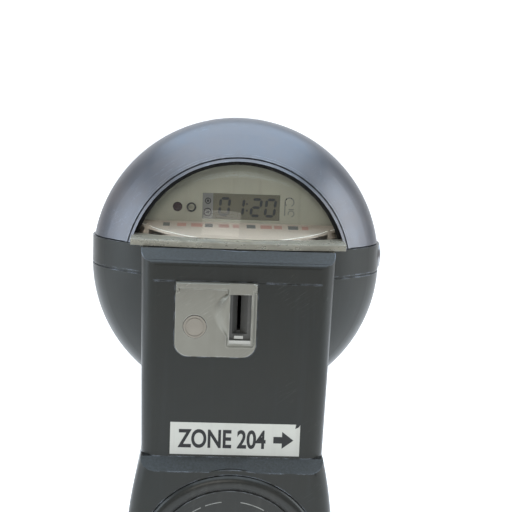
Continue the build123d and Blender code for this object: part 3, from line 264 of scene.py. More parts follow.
# %% Effect: cast skin
def build_cast_skin():
    """Height = coarse lumps + fine grain; Mottle = large soft patches from 0 to 1."""
    tree, source, sink = group("cast_skin", {"Place": None, "Grain": 900.0, "Lumps": 90.0},
                               ["Height", "Mottle"])
    fine = add(tree, "ShaderNodeTexNoise", {"Vector": source.outputs["Place"],
                                            "Scale": source.outputs["Grain"], "Detail": 2.0})
    coarse = add(tree, "ShaderNodeTexNoise", {"Vector": source.outputs["Place"],
                                              "Scale": source.outputs["Lumps"], "Detail": 3.0})
    patch = add(tree, "ShaderNodeTexNoise", {"Vector": source.outputs["Place"], "Scale": 16.0,
                                             "Detail": 5.0, "Roughness": 0.65})
    weighted = math_node(tree, "MULTIPLY", coarse.outputs[0], 0.8)
    height = math_node(tree, "ADD", fine.outputs[0], weighted)
    tree.links.new(height, sink.inputs["Height"])
    tree.links.new(ramp(tree, patch.outputs[0], 0.3, 0.7), sink.inputs["Mottle"])
    return tree


cast_skin = build_cast_skin()


# %% Effect: edge wear, which on the housing is also painted edge highlight
def build_edge_wear_and_glint():
    """Mask = how far a rounded normal leaves the true one, broken up by noise."""
    tree, source, sink = group("edge_wear_and_glint", {"Place": None, "Width": 0.0012, "Breakup": 160.0},
                               ["Mask"])
    rounded = add(tree, "ShaderNodeBevel", {"Radius": source.outputs["Width"]}, samples=4)
    true = add(tree, "ShaderNodeNewGeometry")
    agree = add(tree, "ShaderNodeVectorMath", {0: rounded.outputs[0], 1: true.outputs["Normal"]},
                operation="DOT_PRODUCT")
    lost = math_node(tree, "SUBTRACT", 1.0, agree.outputs["Value"])
    noise = add(tree, "ShaderNodeTexNoise", {"Vector": source.outputs["Place"],
                                             "Scale": source.outputs["Breakup"], "Detail": 4.0})
    edge = ramp(tree, lost, 0.02, 0.16)
    broken = ramp(tree, noise.outputs[0], 0.42, 0.62)
    tree.links.new(math_node(tree, "MULTIPLY", edge, broken), sink.inputs["Mask"])
    return tree


edge_wear_and_glint = build_edge_wear_and_glint()


# %% Effect: street grime, which on the housing is also painted sky sheen
def build_grime_and_sheen():
    """Mask = grit settled on what looks up, which on the housing also stands for a painted sky
    sheen, plus thin vertical rain streaks.
    """
    tree, source, sink = group("street_grime_and_sheen", {"Place": None, "Dust": 0.6, "Streaks": 0.4},
                               ["Mask"])
    facing = add(tree, "ShaderNodeSeparateXYZ",
                 {0: add(tree, "ShaderNodeNewGeometry").outputs["Normal"]})
    upward = ramp(tree, facing.outputs["Z"], 0.1, 1.0)
    speck = add(tree, "ShaderNodeTexNoise", {"Vector": source.outputs["Place"], "Scale": 700.0,
                                             "Detail": 6.0, "Roughness": 0.7})
    dust_and_sheen = math_node(tree, "MULTIPLY", upward, ramp(tree, speck.outputs[0], 0.40, 0.85))
    stretched = add(tree, "ShaderNodeMapping", {"Vector": source.outputs["Place"],
                                                "Scale": (220.0, 220.0, 9.0)})
    streak = add(tree, "ShaderNodeTexNoise", {"Vector": stretched.outputs[0], "Scale": 1.0,
                                              "Detail": 3.0})
    streaks = ramp(tree, streak.outputs[0], 0.56, 0.75)
    total = math_node(tree, "ADD", math_node(tree, "MULTIPLY", dust_and_sheen, source.outputs["Dust"]),
                      math_node(tree, "MULTIPLY", streaks, source.outputs["Streaks"]))
    tree.links.new(math_node(tree, "MINIMUM", total, 1.0), sink.inputs["Mask"])
    return tree


grime_and_sheen = build_grime_and_sheen()


# %% Effect: hairline scratches
def build_scratches():
    """Mask = thin lines where a stretched noise crosses its middle value, in few places."""
    tree, source, sink = group("hairlines", {"Place": None, "Turn": 0.6, "Density": 0.5}, ["Mask"])
    turned = add(tree, "ShaderNodeVectorRotate", {"Vector": source.outputs["Place"],
                                                  "Angle": source.outputs["Turn"]},
                 rotation_type="Y_AXIS")
    stretched = add(tree, "ShaderNodeMapping", {"Vector": turned.outputs[0],
                                                "Scale": (14.0, 200.0, 330.0)})
    line = add(tree, "ShaderNodeTexNoise", {"Vector": stretched.outputs[0], "Scale": 1.0,
                                            "Detail": 2.0})
    off = math_node(tree, "ABSOLUTE", math_node(tree, "SUBTRACT", line.outputs[0], 0.5))
    thin = math_node(tree, "SUBTRACT", 1.0, ramp(tree, off, 0.0, 0.007))
    where = add(tree, "ShaderNodeTexNoise", {"Vector": source.outputs["Place"], "Scale": 34.0,
                                             "Detail": 2.0})
    some = ramp(tree, math_node(tree, "ADD", where.outputs[0],
                                math_node(tree, "MULTIPLY", source.outputs["Density"], 0.2)),
                0.62, 0.72)
    tree.links.new(math_node(tree, "MULTIPLY", thin, some), sink.inputs["Mask"])
    return tree


hairlines = build_scratches()
print("shared effects:", [g.name for g in bpy.data.node_groups])

# %% [markdown]
# ## One recipe for most finishes
# Paint, bare metal and moulded plastic differ in a few numbers: how large the orange peel is,
# how much bare metal the edges show and how dusty they are. One function mixes the shared
# masks into colour and roughness, and leaves the Principled shader in the material.

# %% The common recipe
def mixed(tree, factor, first, second):
    """Colour mix of two colours or sockets by a factor."""
    node = tree.nodes.new("ShaderNodeMix")
    node.data_type = "RGBA"
    for socket, value in ((node.inputs[0], factor), (node.inputs[6], first),
                          (node.inputs[7], second)):
        if isinstance(value, bpy.types.NodeSocket):
            tree.links.new(value, socket)
        else:
            socket.default_value = (*value, 1.0) if isinstance(value, tuple) else value
    return node.outputs[2]


def mixed_value(tree, factor, first, second):
    """Number mix of two values or sockets by a factor."""
    node = add(tree, "ShaderNodeMix", {0: factor, 2: first, 3: second})
    return node.outputs[0]


def finish(name, colour, second, rough=(0.3, 0.45), metal=0.0, bare_and_glint=None, wear=0.0, dust_and_sheen=0.0,
           streaks=0.0, lines=0.0, peel=0.0, grain=900.0, lumps=90.0, coat=0.0,
           dirt_and_sheen=(0.30, 0.28, 0.24)):
    """Material: two paint tones by mottle, worn edges by the edge mask, soiling by the upward and
    streak mask, fine bump; on the housing these masks also lay painted edge highlight and painted
    sky sheen.
    """
    material = bpy.data.materials.new(name)
    material.use_nodes = True
    tree = material.node_tree
    shader = tree.nodes["Principled BSDF"]
    place = add(tree, "ShaderNodeTexCoord").outputs["Object"]
    skin = add(tree, "ShaderNodeGroup", {}, node_tree=cast_skin)
    for key, value in (("Grain", grain), ("Lumps", lumps)):
        skin.inputs[key].default_value = value
    tree.links.new(place, skin.inputs["Place"])
    tone = mixed(tree, skin.outputs["Mottle"], colour, second)
    roughness = mixed_value(tree, skin.outputs["Mottle"], rough[0], rough[1])
    metallic = None
    if lines:
        marks = add(tree, "ShaderNodeGroup", {}, node_tree=hairlines)
        tree.links.new(place, marks.inputs["Place"])
        marks.inputs["Density"].default_value = lines
        tone = mixed(tree, math_node(tree, "MULTIPLY", marks.outputs[0], 0.3), tone,
                     tuple(min(1.0, 2.2 * c + 0.06) for c in colour))
    if wear:
        worn = add(tree, "ShaderNodeGroup", {}, node_tree=edge_wear_and_glint)
        tree.links.new(place, worn.inputs["Place"])
        share = math_node(tree, "MULTIPLY", worn.outputs[0], wear)
        tone = mixed(tree, share, tone, bare_and_glint or (0.5, 0.5, 0.5))
        metallic = mixed_value(tree, share, metal, 1.0)
    if dust_and_sheen or streaks:
        soil = add(tree, "ShaderNodeGroup", {}, node_tree=grime_and_sheen)
        tree.links.new(place, soil.inputs["Place"])
        soil.inputs["Dust"].default_value = dust_and_sheen
        soil.inputs["Streaks"].default_value = streaks
        tone = mixed(tree, soil.outputs[0], tone, dirt_and_sheen)
        roughness = mixed_value(tree, soil.outputs[0], roughness, 0.75)
    tree.links.new(tone, shader.inputs["Base Color"])
    tree.links.new(roughness, shader.inputs["Roughness"])
    if metallic is None:
        shader.inputs["Metallic"].default_value = metal
    else:
        tree.links.new(metallic, shader.inputs["Metallic"])
    shader.inputs["Coat Weight"].default_value = coat
    if peel:
        bump = add(tree, "ShaderNodeBump", {"Strength": 0.35, "Distance": peel * MM,
                                            "Height": skin.outputs["Height"]})
        tree.links.new(bump.outputs[0], shader.inputs["Normal"])
    return material


# %% [markdown]
# ## The finishes of this meter
# The dome is a silver-blue metallic paint, the housing and the door are a charcoal paint
# that has worn to a satin, and the coin plate is bare metal that hands have polished.

# %% Paints and metals
finishes = {
    # Housing: the blue-grey laid on upward faces is painted sky sheen on the shelf as well as dust.
    "housing_paint": finish("housing_paint", (0.015, 0.017, 0.014), (0.022, 0.022, 0.017),
                            # The blue-grey worn edges are partly bare metal and partly painted edge
                            # highlight.
                            rough=(0.28, 0.38), metal=0.30, bare_and_glint=(0.36, 0.40, 0.46), wear=0.60,
                            dust_and_sheen=0.30, streaks=0.02, lines=0.25, peel=0.02, grain=1300.0,
                            lumps=120.0, coat=0.10, dirt_and_sheen=(0.13, 0.15, 0.19)),
    "dome_paint": finish("dome_paint", (0.150, 0.170, 0.200), (0.210, 0.200, 0.205),
                         rough=(0.30, 0.46), metal=0.80, bare_and_glint=(0.55, 0.58, 0.62), wear=0.35,
                         dust_and_sheen=0.15, streaks=0.10, lines=0.5, peel=0.03, grain=1300.0,
                         lumps=140.0, coat=0.05, dirt_and_sheen=(0.20, 0.17, 0.16)),
    "door_paint": finish("door_paint", (0.022, 0.024, 0.021), (0.034, 0.033, 0.028),
                         rough=(0.28, 0.38), metal=0.35, bare_and_glint=(0.34, 0.36, 0.38), wear=0.6,
                         dust_and_sheen=0.12, streaks=0.04, lines=0.35, peel=0.02, grain=1300.0,
                         lumps=120.0, coat=0.10),
    "coin_plate_metal": finish("coin_plate_metal", (0.29, 0.28, 0.235), (0.235, 0.225, 0.19),
                               rough=(0.34, 0.48), metal=0.55, bare_and_glint=(0.68, 0.67, 0.62),
                               wear=0.6, dust_and_sheen=0.15, streaks=0.10, lines=0.5, peel=0.02,
                               dirt_and_sheen=(0.16, 0.14, 0.11)),
    "stainless": finish("stainless", (0.50, 0.50, 0.51), (0.36, 0.36, 0.37), metal=1.0,
                        rough=(0.22, 0.36), lines=0.8, peel=0.01),
    "zinc_steel": finish("zinc_steel", (0.60, 0.60, 0.56), (0.48, 0.47, 0.40), metal=1.0,
                         rough=(0.32, 0.5), lines=0.4, peel=0.02),
    "can_metal": finish("can_metal", (0.64, 0.64, 0.65), (0.50, 0.50, 0.51), metal=1.0,
                        rough=(0.30, 0.44), lines=0.7, peel=0.02),
    "lock_brass": finish("lock_brass", (0.62, 0.46, 0.20), (0.42, 0.30, 0.14), metal=1.0,
                         rough=(0.26, 0.44), lines=0.6, peel=0.01),
    "copper_coil": finish("copper_coil", (0.55, 0.24, 0.10), (0.40, 0.17, 0.08), metal=1.0,
                          rough=(0.25, 0.4), peel=0.02, grain=2400.0),
}
print("paints and metals:", len(finishes))

# %% Rubbers, plastics and electronics
finishes.update({
    "black_rubber": finish("black_rubber", (0.012, 0.012, 0.012), (0.022, 0.021, 0.020),
                           rough=(0.55, 0.75), dust_and_sheen=0.4, peel=0.03),
    "dark_plastic": finish("dark_plastic", (0.024, 0.024, 0.026), (0.034, 0.033, 0.034),
                           rough=(0.42, 0.55), peel=0.03, grain=2200.0),
    "face_plastic": finish("face_plastic", (0.36, 0.35, 0.27), (0.30, 0.295, 0.235),
                           rough=(0.45, 0.6), streaks=0.25, dust_and_sheen=0.3, peel=0.02, grain=2600.0,
                           dirt_and_sheen=(0.18, 0.17, 0.14)),
    "strip_plastic": finish("strip_plastic", (0.62, 0.52, 0.42), (0.52, 0.45, 0.37),
                            rough=(0.35, 0.5), dust_and_sheen=0.3, peel=0.01, dirt_and_sheen=(0.35, 0.31, 0.26)),
    "label_film": finish("label_film", (0.70, 0.69, 0.62), (0.60, 0.60, 0.54),
                         rough=(0.35, 0.55), streaks=0.2, dust_and_sheen=0.3, peel=0.01,
                         dirt_and_sheen=(0.42, 0.40, 0.34)),
    "display_glass": finish("display_glass", (0.120, 0.112, 0.078), (0.135, 0.126, 0.088),
                            rough=(0.12, 0.2), coat=0.6),
    "lamp_lens": finish("lamp_lens", (0.030, 0.008, 0.008), (0.020, 0.006, 0.006),
                        rough=(0.12, 0.2), coat=0.6),
    "board_green": finish("board_green", (0.018, 0.10, 0.040), (0.014, 0.075, 0.032),
                          rough=(0.25, 0.4), coat=0.4, peel=0.01),
    "cell_sleeve": finish("cell_sleeve", (0.05, 0.09, 0.22), (0.04, 0.07, 0.18),
                          rough=(0.22, 0.32), coat=0.3),
})
print("finishes so far:", len(finishes))


# %% Clear window plastic
def clear_plastic():
    """Clear plastic that lets light through to what it covers, so the inside isn't in its shade."""
    material = bpy.data.materials.new("clear_window")
    material.use_nodes = True
    tree = material.node_tree
    shader = tree.nodes["Principled BSDF"]
    place = add(tree, "ShaderNodeTexCoord").outputs["Object"]
    soil = add(tree, "ShaderNodeGroup", {}, node_tree=grime_and_sheen)
    tree.links.new(place, soil.inputs["Place"])
    soil.inputs["Dust"].default_value = 0.08
    soil.inputs["Streaks"].default_value = 0.03
    tree.links.new(mixed_value(tree, soil.outputs[0], 0.01, 0.15), shader.inputs["Roughness"])
    shader.inputs["Base Color"].default_value = (0.97, 0.98, 0.97, 1.0)
    shader.inputs["Transmission Weight"].default_value = 1.0
    shader.inputs["IOR"].default_value = 1.25
    ray = add(tree, "ShaderNodeLightPath")
    through = add(tree, "ShaderNodeBsdfTransparent")
    blend = add(tree, "ShaderNodeMixShader", {0: ray.outputs["Is Shadow Ray"],
                                              1: shader.outputs[0], 2: through.outputs[0]})
    tree.links.new(blend.outputs[0], tree.nodes["Material Output"].inputs["Surface"])
    return material


finishes["clear_window"] = clear_plastic()

slot_of = {part["node"]: part["material_slot"] for part in frame["record"]["subparts"]}
for name, node in nodes.items():
    node.data.materials.clear()
    node.data.materials.append(finishes[slot_of[name]])
print("materials on", len(nodes), "model parts")

# %% [markdown]
# ## Closed sheets
# The window, its bar and the coin plate are all thin plates: an outer face, an inner face and
# a rim between them. One helper joins two grids of points into such a closed plate, so every
# new piece below only has to say where its two faces are.

# %% A closed plate from two grids
def closed_plate(name, outer, inner, body, material, smooth_angle=30.0):
    """Outer and inner are rows x columns x 3 grids; the rim strip joins their borders."""
    rows, columns = outer.shape[:2]
    count = rows * columns
    quads = grid_faces(rows, columns)
    index = np.arange(count).reshape(rows, columns)
    border = np.r_[index[0, :-1], index[:-1, -1], index[-1, :0:-1], index[:0:-1, 0]]
    after = np.roll(border, -1)
    rim = np.stack([after, border, border + count, after + count], -1)
    points = np.concatenate([outer.reshape(-1, 3), inner.reshape(-1, 3)])
    piece = new_mesh(name, points, np.concatenate([quads, quads[:, ::-1] + count, rim]))
    return settle(piece, body, material, smooth_angle)


def settle(piece, body, material, smooth_angle=30.0):
    """Merges doubles, turns faces outwards, marks sharp edges, and puts the piece on a body."""
    shape = bmesh.new()
    shape.from_mesh(piece.data)
    bmesh.ops.remove_doubles(shape, verts=shape.verts, dist=1e-6)
    bmesh.ops.recalc_face_normals(shape, faces=shape.faces)
    shape.to_mesh(piece.data)
    shape.free()
    piece.data.set_sharp_from_angle(angle=math.radians(smooth_angle))
    piece.data.materials.clear()
    piece.data.materials.append(material)
    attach(piece, body)
    return piece


# %% [markdown]
# ## The front window
# The window is a bowl-shaped lens pressed from clear plastic. Along its foot it turns forward
# into a bowed bar that keeps rain out of the joint. The lens follows the dome five
# millimetres below its skin. The bar is a profile carried along a shallow arc. Weather has
# clouded it, so it gets a milky finish of its own.

# %% Window lens
WINDOW_SINK = 5.0 * MM
WINDOW_WALL = 3.0 * MM
WINDOW_LAP = 6.0 * MM
window_low, window_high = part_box("front_window")
LENS_R = window_high.z - HEAD_Z
WINDOW_R = LENS_R - WINDOW_LAP
BAR_TOP = SEAM_Z + 6.6 * MM
BAR_FOOT = window_low.z
BAR_HALF = WINDOW_R - 2.6 * MM


def lens_face(sink, rows=56, columns=88):
    """x = s sqrt(R^2 - (z - head z)^2), y = cap(x, z); s runs -1 to 1, z from the bar up."""
    t = np.sin(np.linspace(0, np.pi / 2, rows))[:, None]
    z = BAR_TOP + (LENS_R - (BAR_TOP - HEAD_Z)) * t
    half = np.sqrt(np.maximum(LENS_R ** 2 - (z - HEAD_Z) ** 2, 0.0))
    x = np.linspace(-1, 1, columns)[None, :] * half
    z = np.broadcast_to(z, x.shape)
    return np.stack([x, cap_y(x, z, sink), z], -1)


lens = closed_plate("window_lens", lens_face(WINDOW_SINK), lens_face(WINDOW_SINK + WINDOW_WALL),
                    "dome", finishes["clear_window"], smooth_angle=60.0)
print("window lens:", len(lens.data.polygons), "faces")


# %% Clouded bar along the window's foot
def clouded_plastic():
    """Old clear plastic: cream, half see-through, with streaks that run along the bar."""
    material = bpy.data.materials.new("clouded_plastic")
    material.use_nodes = True
    tree = material.node_tree
    shader = tree.nodes["Principled BSDF"]
    place = add(tree, "ShaderNodeTexCoord").outputs["Object"]
    along = add(tree, "ShaderNodeMapping", {"Vector": place, "Scale": (90.0, 160.0, 260.0)})
    streak = add(tree, "ShaderNodeTexNoise", {"Vector": along.outputs[0], "Scale": 1.0,
                                              "Detail": 5.0, "Roughness": 0.65})
    mask = ramp(tree, streak.outputs[0], 0.38, 0.66)
    tone = mixed(tree, mask, (0.66, 0.63, 0.52), (0.50, 0.47, 0.38))
    tree.links.new(tone, shader.inputs["Base Color"])
    tree.links.new(mixed_value(tree, mask, 0.22, 0.5), shader.inputs["Roughness"])
    shader.inputs["Transmission Weight"].default_value = 0.55
    shader.inputs["IOR"].default_value = 1.49
    bump = add(tree, "ShaderNodeBump", {"Strength": 0.3, "Distance": 0.2 * MM,
                                        "Height": streak.outputs[0]})
    tree.links.new(bump.outputs[0], shader.inputs["Normal"])
    return material


finishes["clouded_plastic"] = clouded_plastic()


def swept_section(sections):
    """Stations x loop points x 3 grid joined round each loop and along x, with both ends shut."""
    stations, loop = sections.shape[:2]
    quads = grid_faces(stations, loop, close_columns=True)
    ends = [list(range(loop)), list(range((stations - 1) * loop, stations * loop))]
    return sections.reshape(-1, 3), [list(q) for q in quads] + ends


def bar_sections(stations=81, wall=3.0 * MM, bow=6.0 * MM, nose=1.2 * MM, face=4.4 * MM):
    """Front y = (x / half)^2 bow behind the middle; an upside-down L whose top slopes up."""
    x = np.linspace(-BAR_HALF, BAR_HALF, stations)
    front = window_low.y + bow * (x / BAR_HALF) ** 2
    rear = cap_y(x, BAR_TOP, WINDOW_SINK + 0.5 * MM)
    round_ = np.linspace(0, np.pi / 2, 5)
    y = [front] + [front + nose * (1 - np.cos(a)) for a in round_]
    edge = BAR_FOOT + face
    z = [BAR_FOOT] + [edge - nose * (1 - np.sin(a)) for a in round_]
    y += [rear, rear, front + wall, front + wall]
    z += [BAR_TOP, BAR_TOP - wall, edge - wall, BAR_FOOT]
    y = np.stack(y, 1)
    z = np.broadcast_to(np.array(z), y.shape)
    return np.stack([np.broadcast_to(x[:, None], y.shape), y, z], -1)


bar = new_mesh("window_bar", *swept_section(bar_sections()))
settle(bar, "dome", finishes["clouded_plastic"])
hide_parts("front_window")
print("bar half length %.1f mm" % (BAR_HALF / MM))

# %% [markdown]
# ## Printed marks
# Inks are a tenth of a millimetre thick at most, but a raised mark catches the same light as
# the real one and is geometry of its own. Each mark here is a flat outline given a hair of
# thickness, so none of it needs an image.

# %% Flat marks on an upright face
INK = 0.06 * MM


def flat_finish(name, colour, rough=0.45):
    """Ink: one colour that a soft noise makes thinner here and there."""
    return finish(name, colour, tuple(1.5 * c + 0.012 for c in colour),
                  rough=(rough, rough + 0.15), dust_and_sheen=0.1, grain=2600.0)


finishes["black_ink"] = flat_finish("black_ink", (0.010, 0.010, 0.010))
finishes["red_ink"] = flat_finish("red_ink", (0.36, 0.20, 0.16))
finishes["grey_ink"] = flat_finish("grey_ink", (0.12, 0.12, 0.11))


def marks(name, outlines, y, body, slot, material, thick=INK):
    """One piece from many XZ outlines, each a thin prism whose front face is at y - thick."""
    points, faces, base = [], [], 0
    for outline in outlines:
        ring = np.asarray(outline, float)
        n = len(ring)
        depth = y(ring) if callable(y) else np.full(n, y)
        front = np.stack([ring[:, 0], depth - thick, ring[:, 1]], -1)
        rear = np.stack([ring[:, 0], depth, ring[:, 1]], -1)
        points += [front, rear]
        here = np.arange(n)
        after = (here + 1) % n
        faces += [list(base + here), list(base + n + here[::-1])]
        faces += np.stack([base + here, base + n + here, base + n + after, base + after],
                          -1).tolist()
        base += 2 * n
    piece = new_mesh(name, np.concatenate(points), faces, smooth=False)
    return settle(piece, body, material)


def rectangle(x0, x1, z0, z1):
    """Outline of an upright rectangle, lower left corner first."""
    return [(x0, z0), (x1, z0), (x1, z1), (x0, z1)]


def ring_parts(x, z, outer, inner, start=0.0, end=360.0, steps=32):
    """Ring or part of a ring as quads: points at radius inner and outer over an angle range."""
    a = np.radians(np.linspace(start, end, steps + 1))
    spoke = np.stack([np.cos(a), np.sin(a)], -1)
    far, near = np.array([x, z]) + outer * spoke, np.array([x, z]) + inner * spoke
    return [np.array([near[i], far[i], far[i + 1], near[i + 1]]) for i in range(steps)]


# %% [markdown]
# ## The segment display
# Each figure is seven bars with pointed ends. A table says which bars each figure lights, so
# the shown time is one short string.

# %% Segment figures
SEGMENTS = {"0": "abcdef", "1": "bc", "2": "abged"}


def segment(x, z, length, thick, upright):
    """Hexagon: a bar whose two ends come to a point."""
    h, t = length / 2, thick / 2
    shape = np.array([(-h, 0), (-h + t, t), (h - t, t), (h, 0), (h - t, -t), (-h + t, -t)])
    if upright:
        shape = shape[::-1, ::-1]
    return shape + np.array([x, z])


def figure(mark, x, z, wide, high, thick, slant=0.10):
    """Bars of one figure whose lower left corner is (x, z), leaned to the right by slant."""
    reach, rise = wide - 0.3 * thick, high / 2 - 0.3 * thick
    middle = x + wide / 2
    places = {
        "a": (middle, z + high, reach, False), "g": (middle, z + high / 2, reach, False),
        "d": (middle, z, reach, False), "f": (x, z + 0.75 * high, rise, True),
        "b": (x + wide, z + 0.75 * high, rise, True), "e": (x, z + 0.25 * high, rise, True),
        "c": (x + wide, z + 0.25 * high, rise, True),
    }
    shapes = []
    for letter in SEGMENTS[mark]:
        px, pz, length, upright = places[letter]
        bar_shape = segment(px, pz, length, thick, upright)
        bar_shape[:, 0] += slant * (bar_shape[:, 1] - z)
        shapes.append(bar_shape)
    return shapes


glass_low, glass_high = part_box("display_module")
DISPLAY_EDGE = 3.1 * MM
display_left, display_right = glass_low.x + DISPLAY_EDGE, glass_high.x - DISPLAY_EDGE
display_foot, display_top = glass_low.z + DISPLAY_EDGE, glass_high.z - DISPLAY_EDGE
display_high = display_top - display_foot
display_wide = display_right - display_left
GLASS_FRONT = glass_low.y

FIGURE_PITCH = 0.185 * display_wide
FIGURE_FOOT = display_foot + 0.17 * display_high
FIGURE_WIDE, FIGURE_HIGH = 0.115 * display_wide, 0.64 * display_high
SEGMENT_THICK, DOT_HALF = 1.9 * MM, 0.6 * MM

shapes = []
figure_x = display_left + 0.215 * display_wide
for place, mark in enumerate("0120"):
    gap = 0.04 * display_wide if place > 1 else 0.0
    shapes += figure(mark, figure_x + place * FIGURE_PITCH + gap, FIGURE_FOOT, FIGURE_WIDE,
                     FIGURE_HIGH, SEGMENT_THICK)
colon_x = figure_x + 2 * FIGURE_PITCH - 0.012 * display_wide
for height in (0.36, 0.62):
    centre = display_foot + height * display_high
    shapes.append(rectangle(colon_x - DOT_HALF, colon_x + DOT_HALF, centre - DOT_HALF,
                            centre + DOT_HALF))
marks("display_figures", shapes, GLASS_FRONT, "housing", "display_glass",
      finishes["black_ink"])

COLUMN_WIDE = 0.135 * display_wide
column = [rectangle(display_left, display_left + COLUMN_WIDE, display_foot, display_top)]
marks("display_column", column, GLASS_FRONT, "housing", "display_glass", finishes["grey_ink"],
      thick=0.03 * MM)
icon_x = display_left + 0.068 * display_wide
ICON_LINE, ICON_DOT, ICON_PINHOLE = 0.7 * MM, 0.9 * MM, 0.05 * MM
icons = []
for height, radius in ((0.70, 2.2 * MM), (0.26, 2.9 * MM)):
    icon_z = display_foot + height * display_high
    icons += ring_parts(icon_x, icon_z, radius, radius - ICON_LINE)
    icons += ring_parts(icon_x, icon_z, ICON_DOT, ICON_PINHOLE)
marks("display_icons", icons, GLASS_FRONT - 0.03 * MM, "housing", "display_glass",
      finishes["black_ink"])
print("display shows 01:20 on %.1f mm of glass" % (display_wide / MM))

# %% [markdown]
# ## Faceplate and rate strip marks
# Right of the display a small outline drawing tells people where a coin goes, and a dark ring
# frames the light sensor on its left. A row of plain blocks on the sloping strip stands where
# the rates are printed, and a pale painted highlight along the strip's curved front edge
# stands for the line of light that edge catches.

# %% Faceplate drawing and sensor ring
FACE_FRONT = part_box("faceplate")[0].y
COIN_OUTER, COIN_INNER = 3.4 * MM, 2.7 * MM
POST_LONG, LINE = 9.5 * MM, COIN_OUTER - COIN_INNER
coin_x, coin_z = display_right + 6.6 * MM, display_foot + 0.74 * display_high
dash_z = coin_z - 4.7 * MM
drawing = ring_parts(coin_x, coin_z, COIN_OUTER, COIN_INNER, -60, 230)
drawing += [rectangle(coin_x - COIN_OUTER, coin_x - COIN_INNER, coin_z - POST_LONG, coin_z)]
drawing += [rectangle(coin_x - 0.4 * MM, coin_x + 3.2 * MM, dash_z - LINE, dash_z)]
drawing += ring_parts(coin_x + 1.4 * MM, coin_z - 8.0 * MM, 2.3 * MM, 1.7 * MM, -80, 200)
marks("faceplate_drawing", drawing, FACE_FRONT, "housing", "face_plastic", finishes["grey_ink"])

sensor_low, sensor_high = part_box("light_sensor")
sensor_x, sensor_z = (sensor_low.x + sensor_high.x) / 2, (sensor_low.z + sensor_high.z) / 2
sensor_r = (sensor_high.x - sensor_low.x) / 2
RING_OUTER, RING_INNER = 0.96 * sensor_r, 0.62 * sensor_r
marks("sensor_ring", ring_parts(sensor_x, sensor_z, RING_OUTER, RING_INNER),
      sensor_low.y, "housing", "face_plastic", finishes["black_ink"])

# %% Blocks on the rate strip
STRIP_BACK_Z = SEAM_Z + 14.0 * MM
STRIP_SLOPE = 9.5 / 31.0


def strip_y(ring):
    """The strip falls towards the front: y in front of the faceplate = drop / slope."""
    return FACE_FRONT - (STRIP_BACK_Z - ring[:, 1]) / STRIP_SLOPE - 0.02 * MM


BLOCKS, FIRST_BLOCK_X, BLOCK_PITCH = 11, -52 * MM, 9.6 * MM
BLOCK_FOOT, BLOCK_TOP = STRIP_BACK_Z - 2.6 * MM, STRIP_BACK_Z - 0.9 * MM
red_blocks, grey_blocks = [], []
for place in range(BLOCKS):
    left = FIRST_BLOCK_X + place * BLOCK_PITCH
    width = (4.5 + 3.4 * ((place * 7) % 5) / 4) * MM    # five widths, shuffled along the row
    block = rectangle(left, left + width, BLOCK_FOOT, BLOCK_TOP)
    (red_blocks if place % 3 else grey_blocks).append(block)
marks("rate_blocks_red", red_blocks, strip_y, "housing", "strip_plastic", finishes["red_ink"])
marks("rate_blocks_grey", grey_blocks, strip_y, "housing", "strip_plastic", finishes["grey_ink"])
print("blocks on the strip:", len(red_blocks) + len(grey_blocks))


def strip_rim_highlight(width=0.9 * MM, stations=61):
    """Quads along the strip's curved front edge: z read from the piece's own rim at each x."""
    piece = nodes["rate_strip"]
    points = np.empty(len(piece.data.vertices) * 3)
    piece.data.vertices.foreach_get("co", points)
    points = points.reshape(-1, 3)
    on_slope = np.abs(points[:, 1] - strip_y(points[:, 1:])) < 0.1 * MM
    rim = points[on_slope & (points[:, 2] < STRIP_BACK_Z - 0.5 * MM)]
    rim = rim[np.argsort(rim[:, 0])]
    x = np.linspace(rim[0, 0] + 1.0 * MM, rim[-1, 0] - 1.0 * MM, stations)
    z = np.interp(x, rim[:, 0], rim[:, 2]) + 0.1 * MM
    low, high = np.stack([x, z], 1), np.stack([x, z + width * STRIP_SLOPE], 1)
    return list(np.stack([low[:-1], low[1:], high[1:], high[:-1]], 1))


# Painted highlight: a pale band laid along the strip's curved front edge in place of the light it
# catches.
rim_light = flat_finish("strip_edge_painted_highlight", (0.85, 0.83, 0.76), rough=0.35)
marks("strip_rim_highlight", strip_rim_highlight(), strip_y, "housing", "strip_plastic", rim_light)

# %% [markdown]
# ## The zone label
# The label is a strip of film stuck on the neck. Its words are type turned into a mesh: bold,
# narrow capitals, then an arrow.

# %% Label print
label_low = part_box("direction_label")[0]
LABEL_FRONT = label_low.y


def type_mesh(name, words, left, foot, cap_height, width, weight):
    """Words as a thin mesh: capitals cap_height tall, squeezed to the given width."""
    data = bpy.data.curves.new(name, "FONT")
    data.body = words
    data.offset = weight
    data.extrude = 0.02
    holder = bpy.data.objects.new(name + "_type", data)
    bpy.context.scene.collection.objects.link(holder)
    bpy.context.view_layer.update()
    mesh = bpy.data.meshes.new_from_object(holder.evaluated_get(
        bpy.context.evaluated_depsgraph_get()))
    bpy.data.objects.remove(holder)
    points = np.empty(len(mesh.vertices) * 3)
    mesh.vertices.foreach_get("co", points)
    points = points.reshape(-1, 3)
    scale = cap_height / (points[:, 1].max() - points[:, 1].min())
    across = points[:, 0] - points[:, 0].min()
    x = left + across * width / across.max()
    z = foot + (points[:, 1] - points[:, 1].min()) * scale
    y = LABEL_FRONT - INK * (points[:, 2] > 0)
    placed = np.stack([x, y, z], -1)
    mesh.vertices.foreach_set("co", placed.ravel())
    mesh.update()
    piece = bpy.data.objects.new(name, mesh)
    bpy.context.scene.collection.objects.link(piece)
    return piece, placed[:, 0].max()


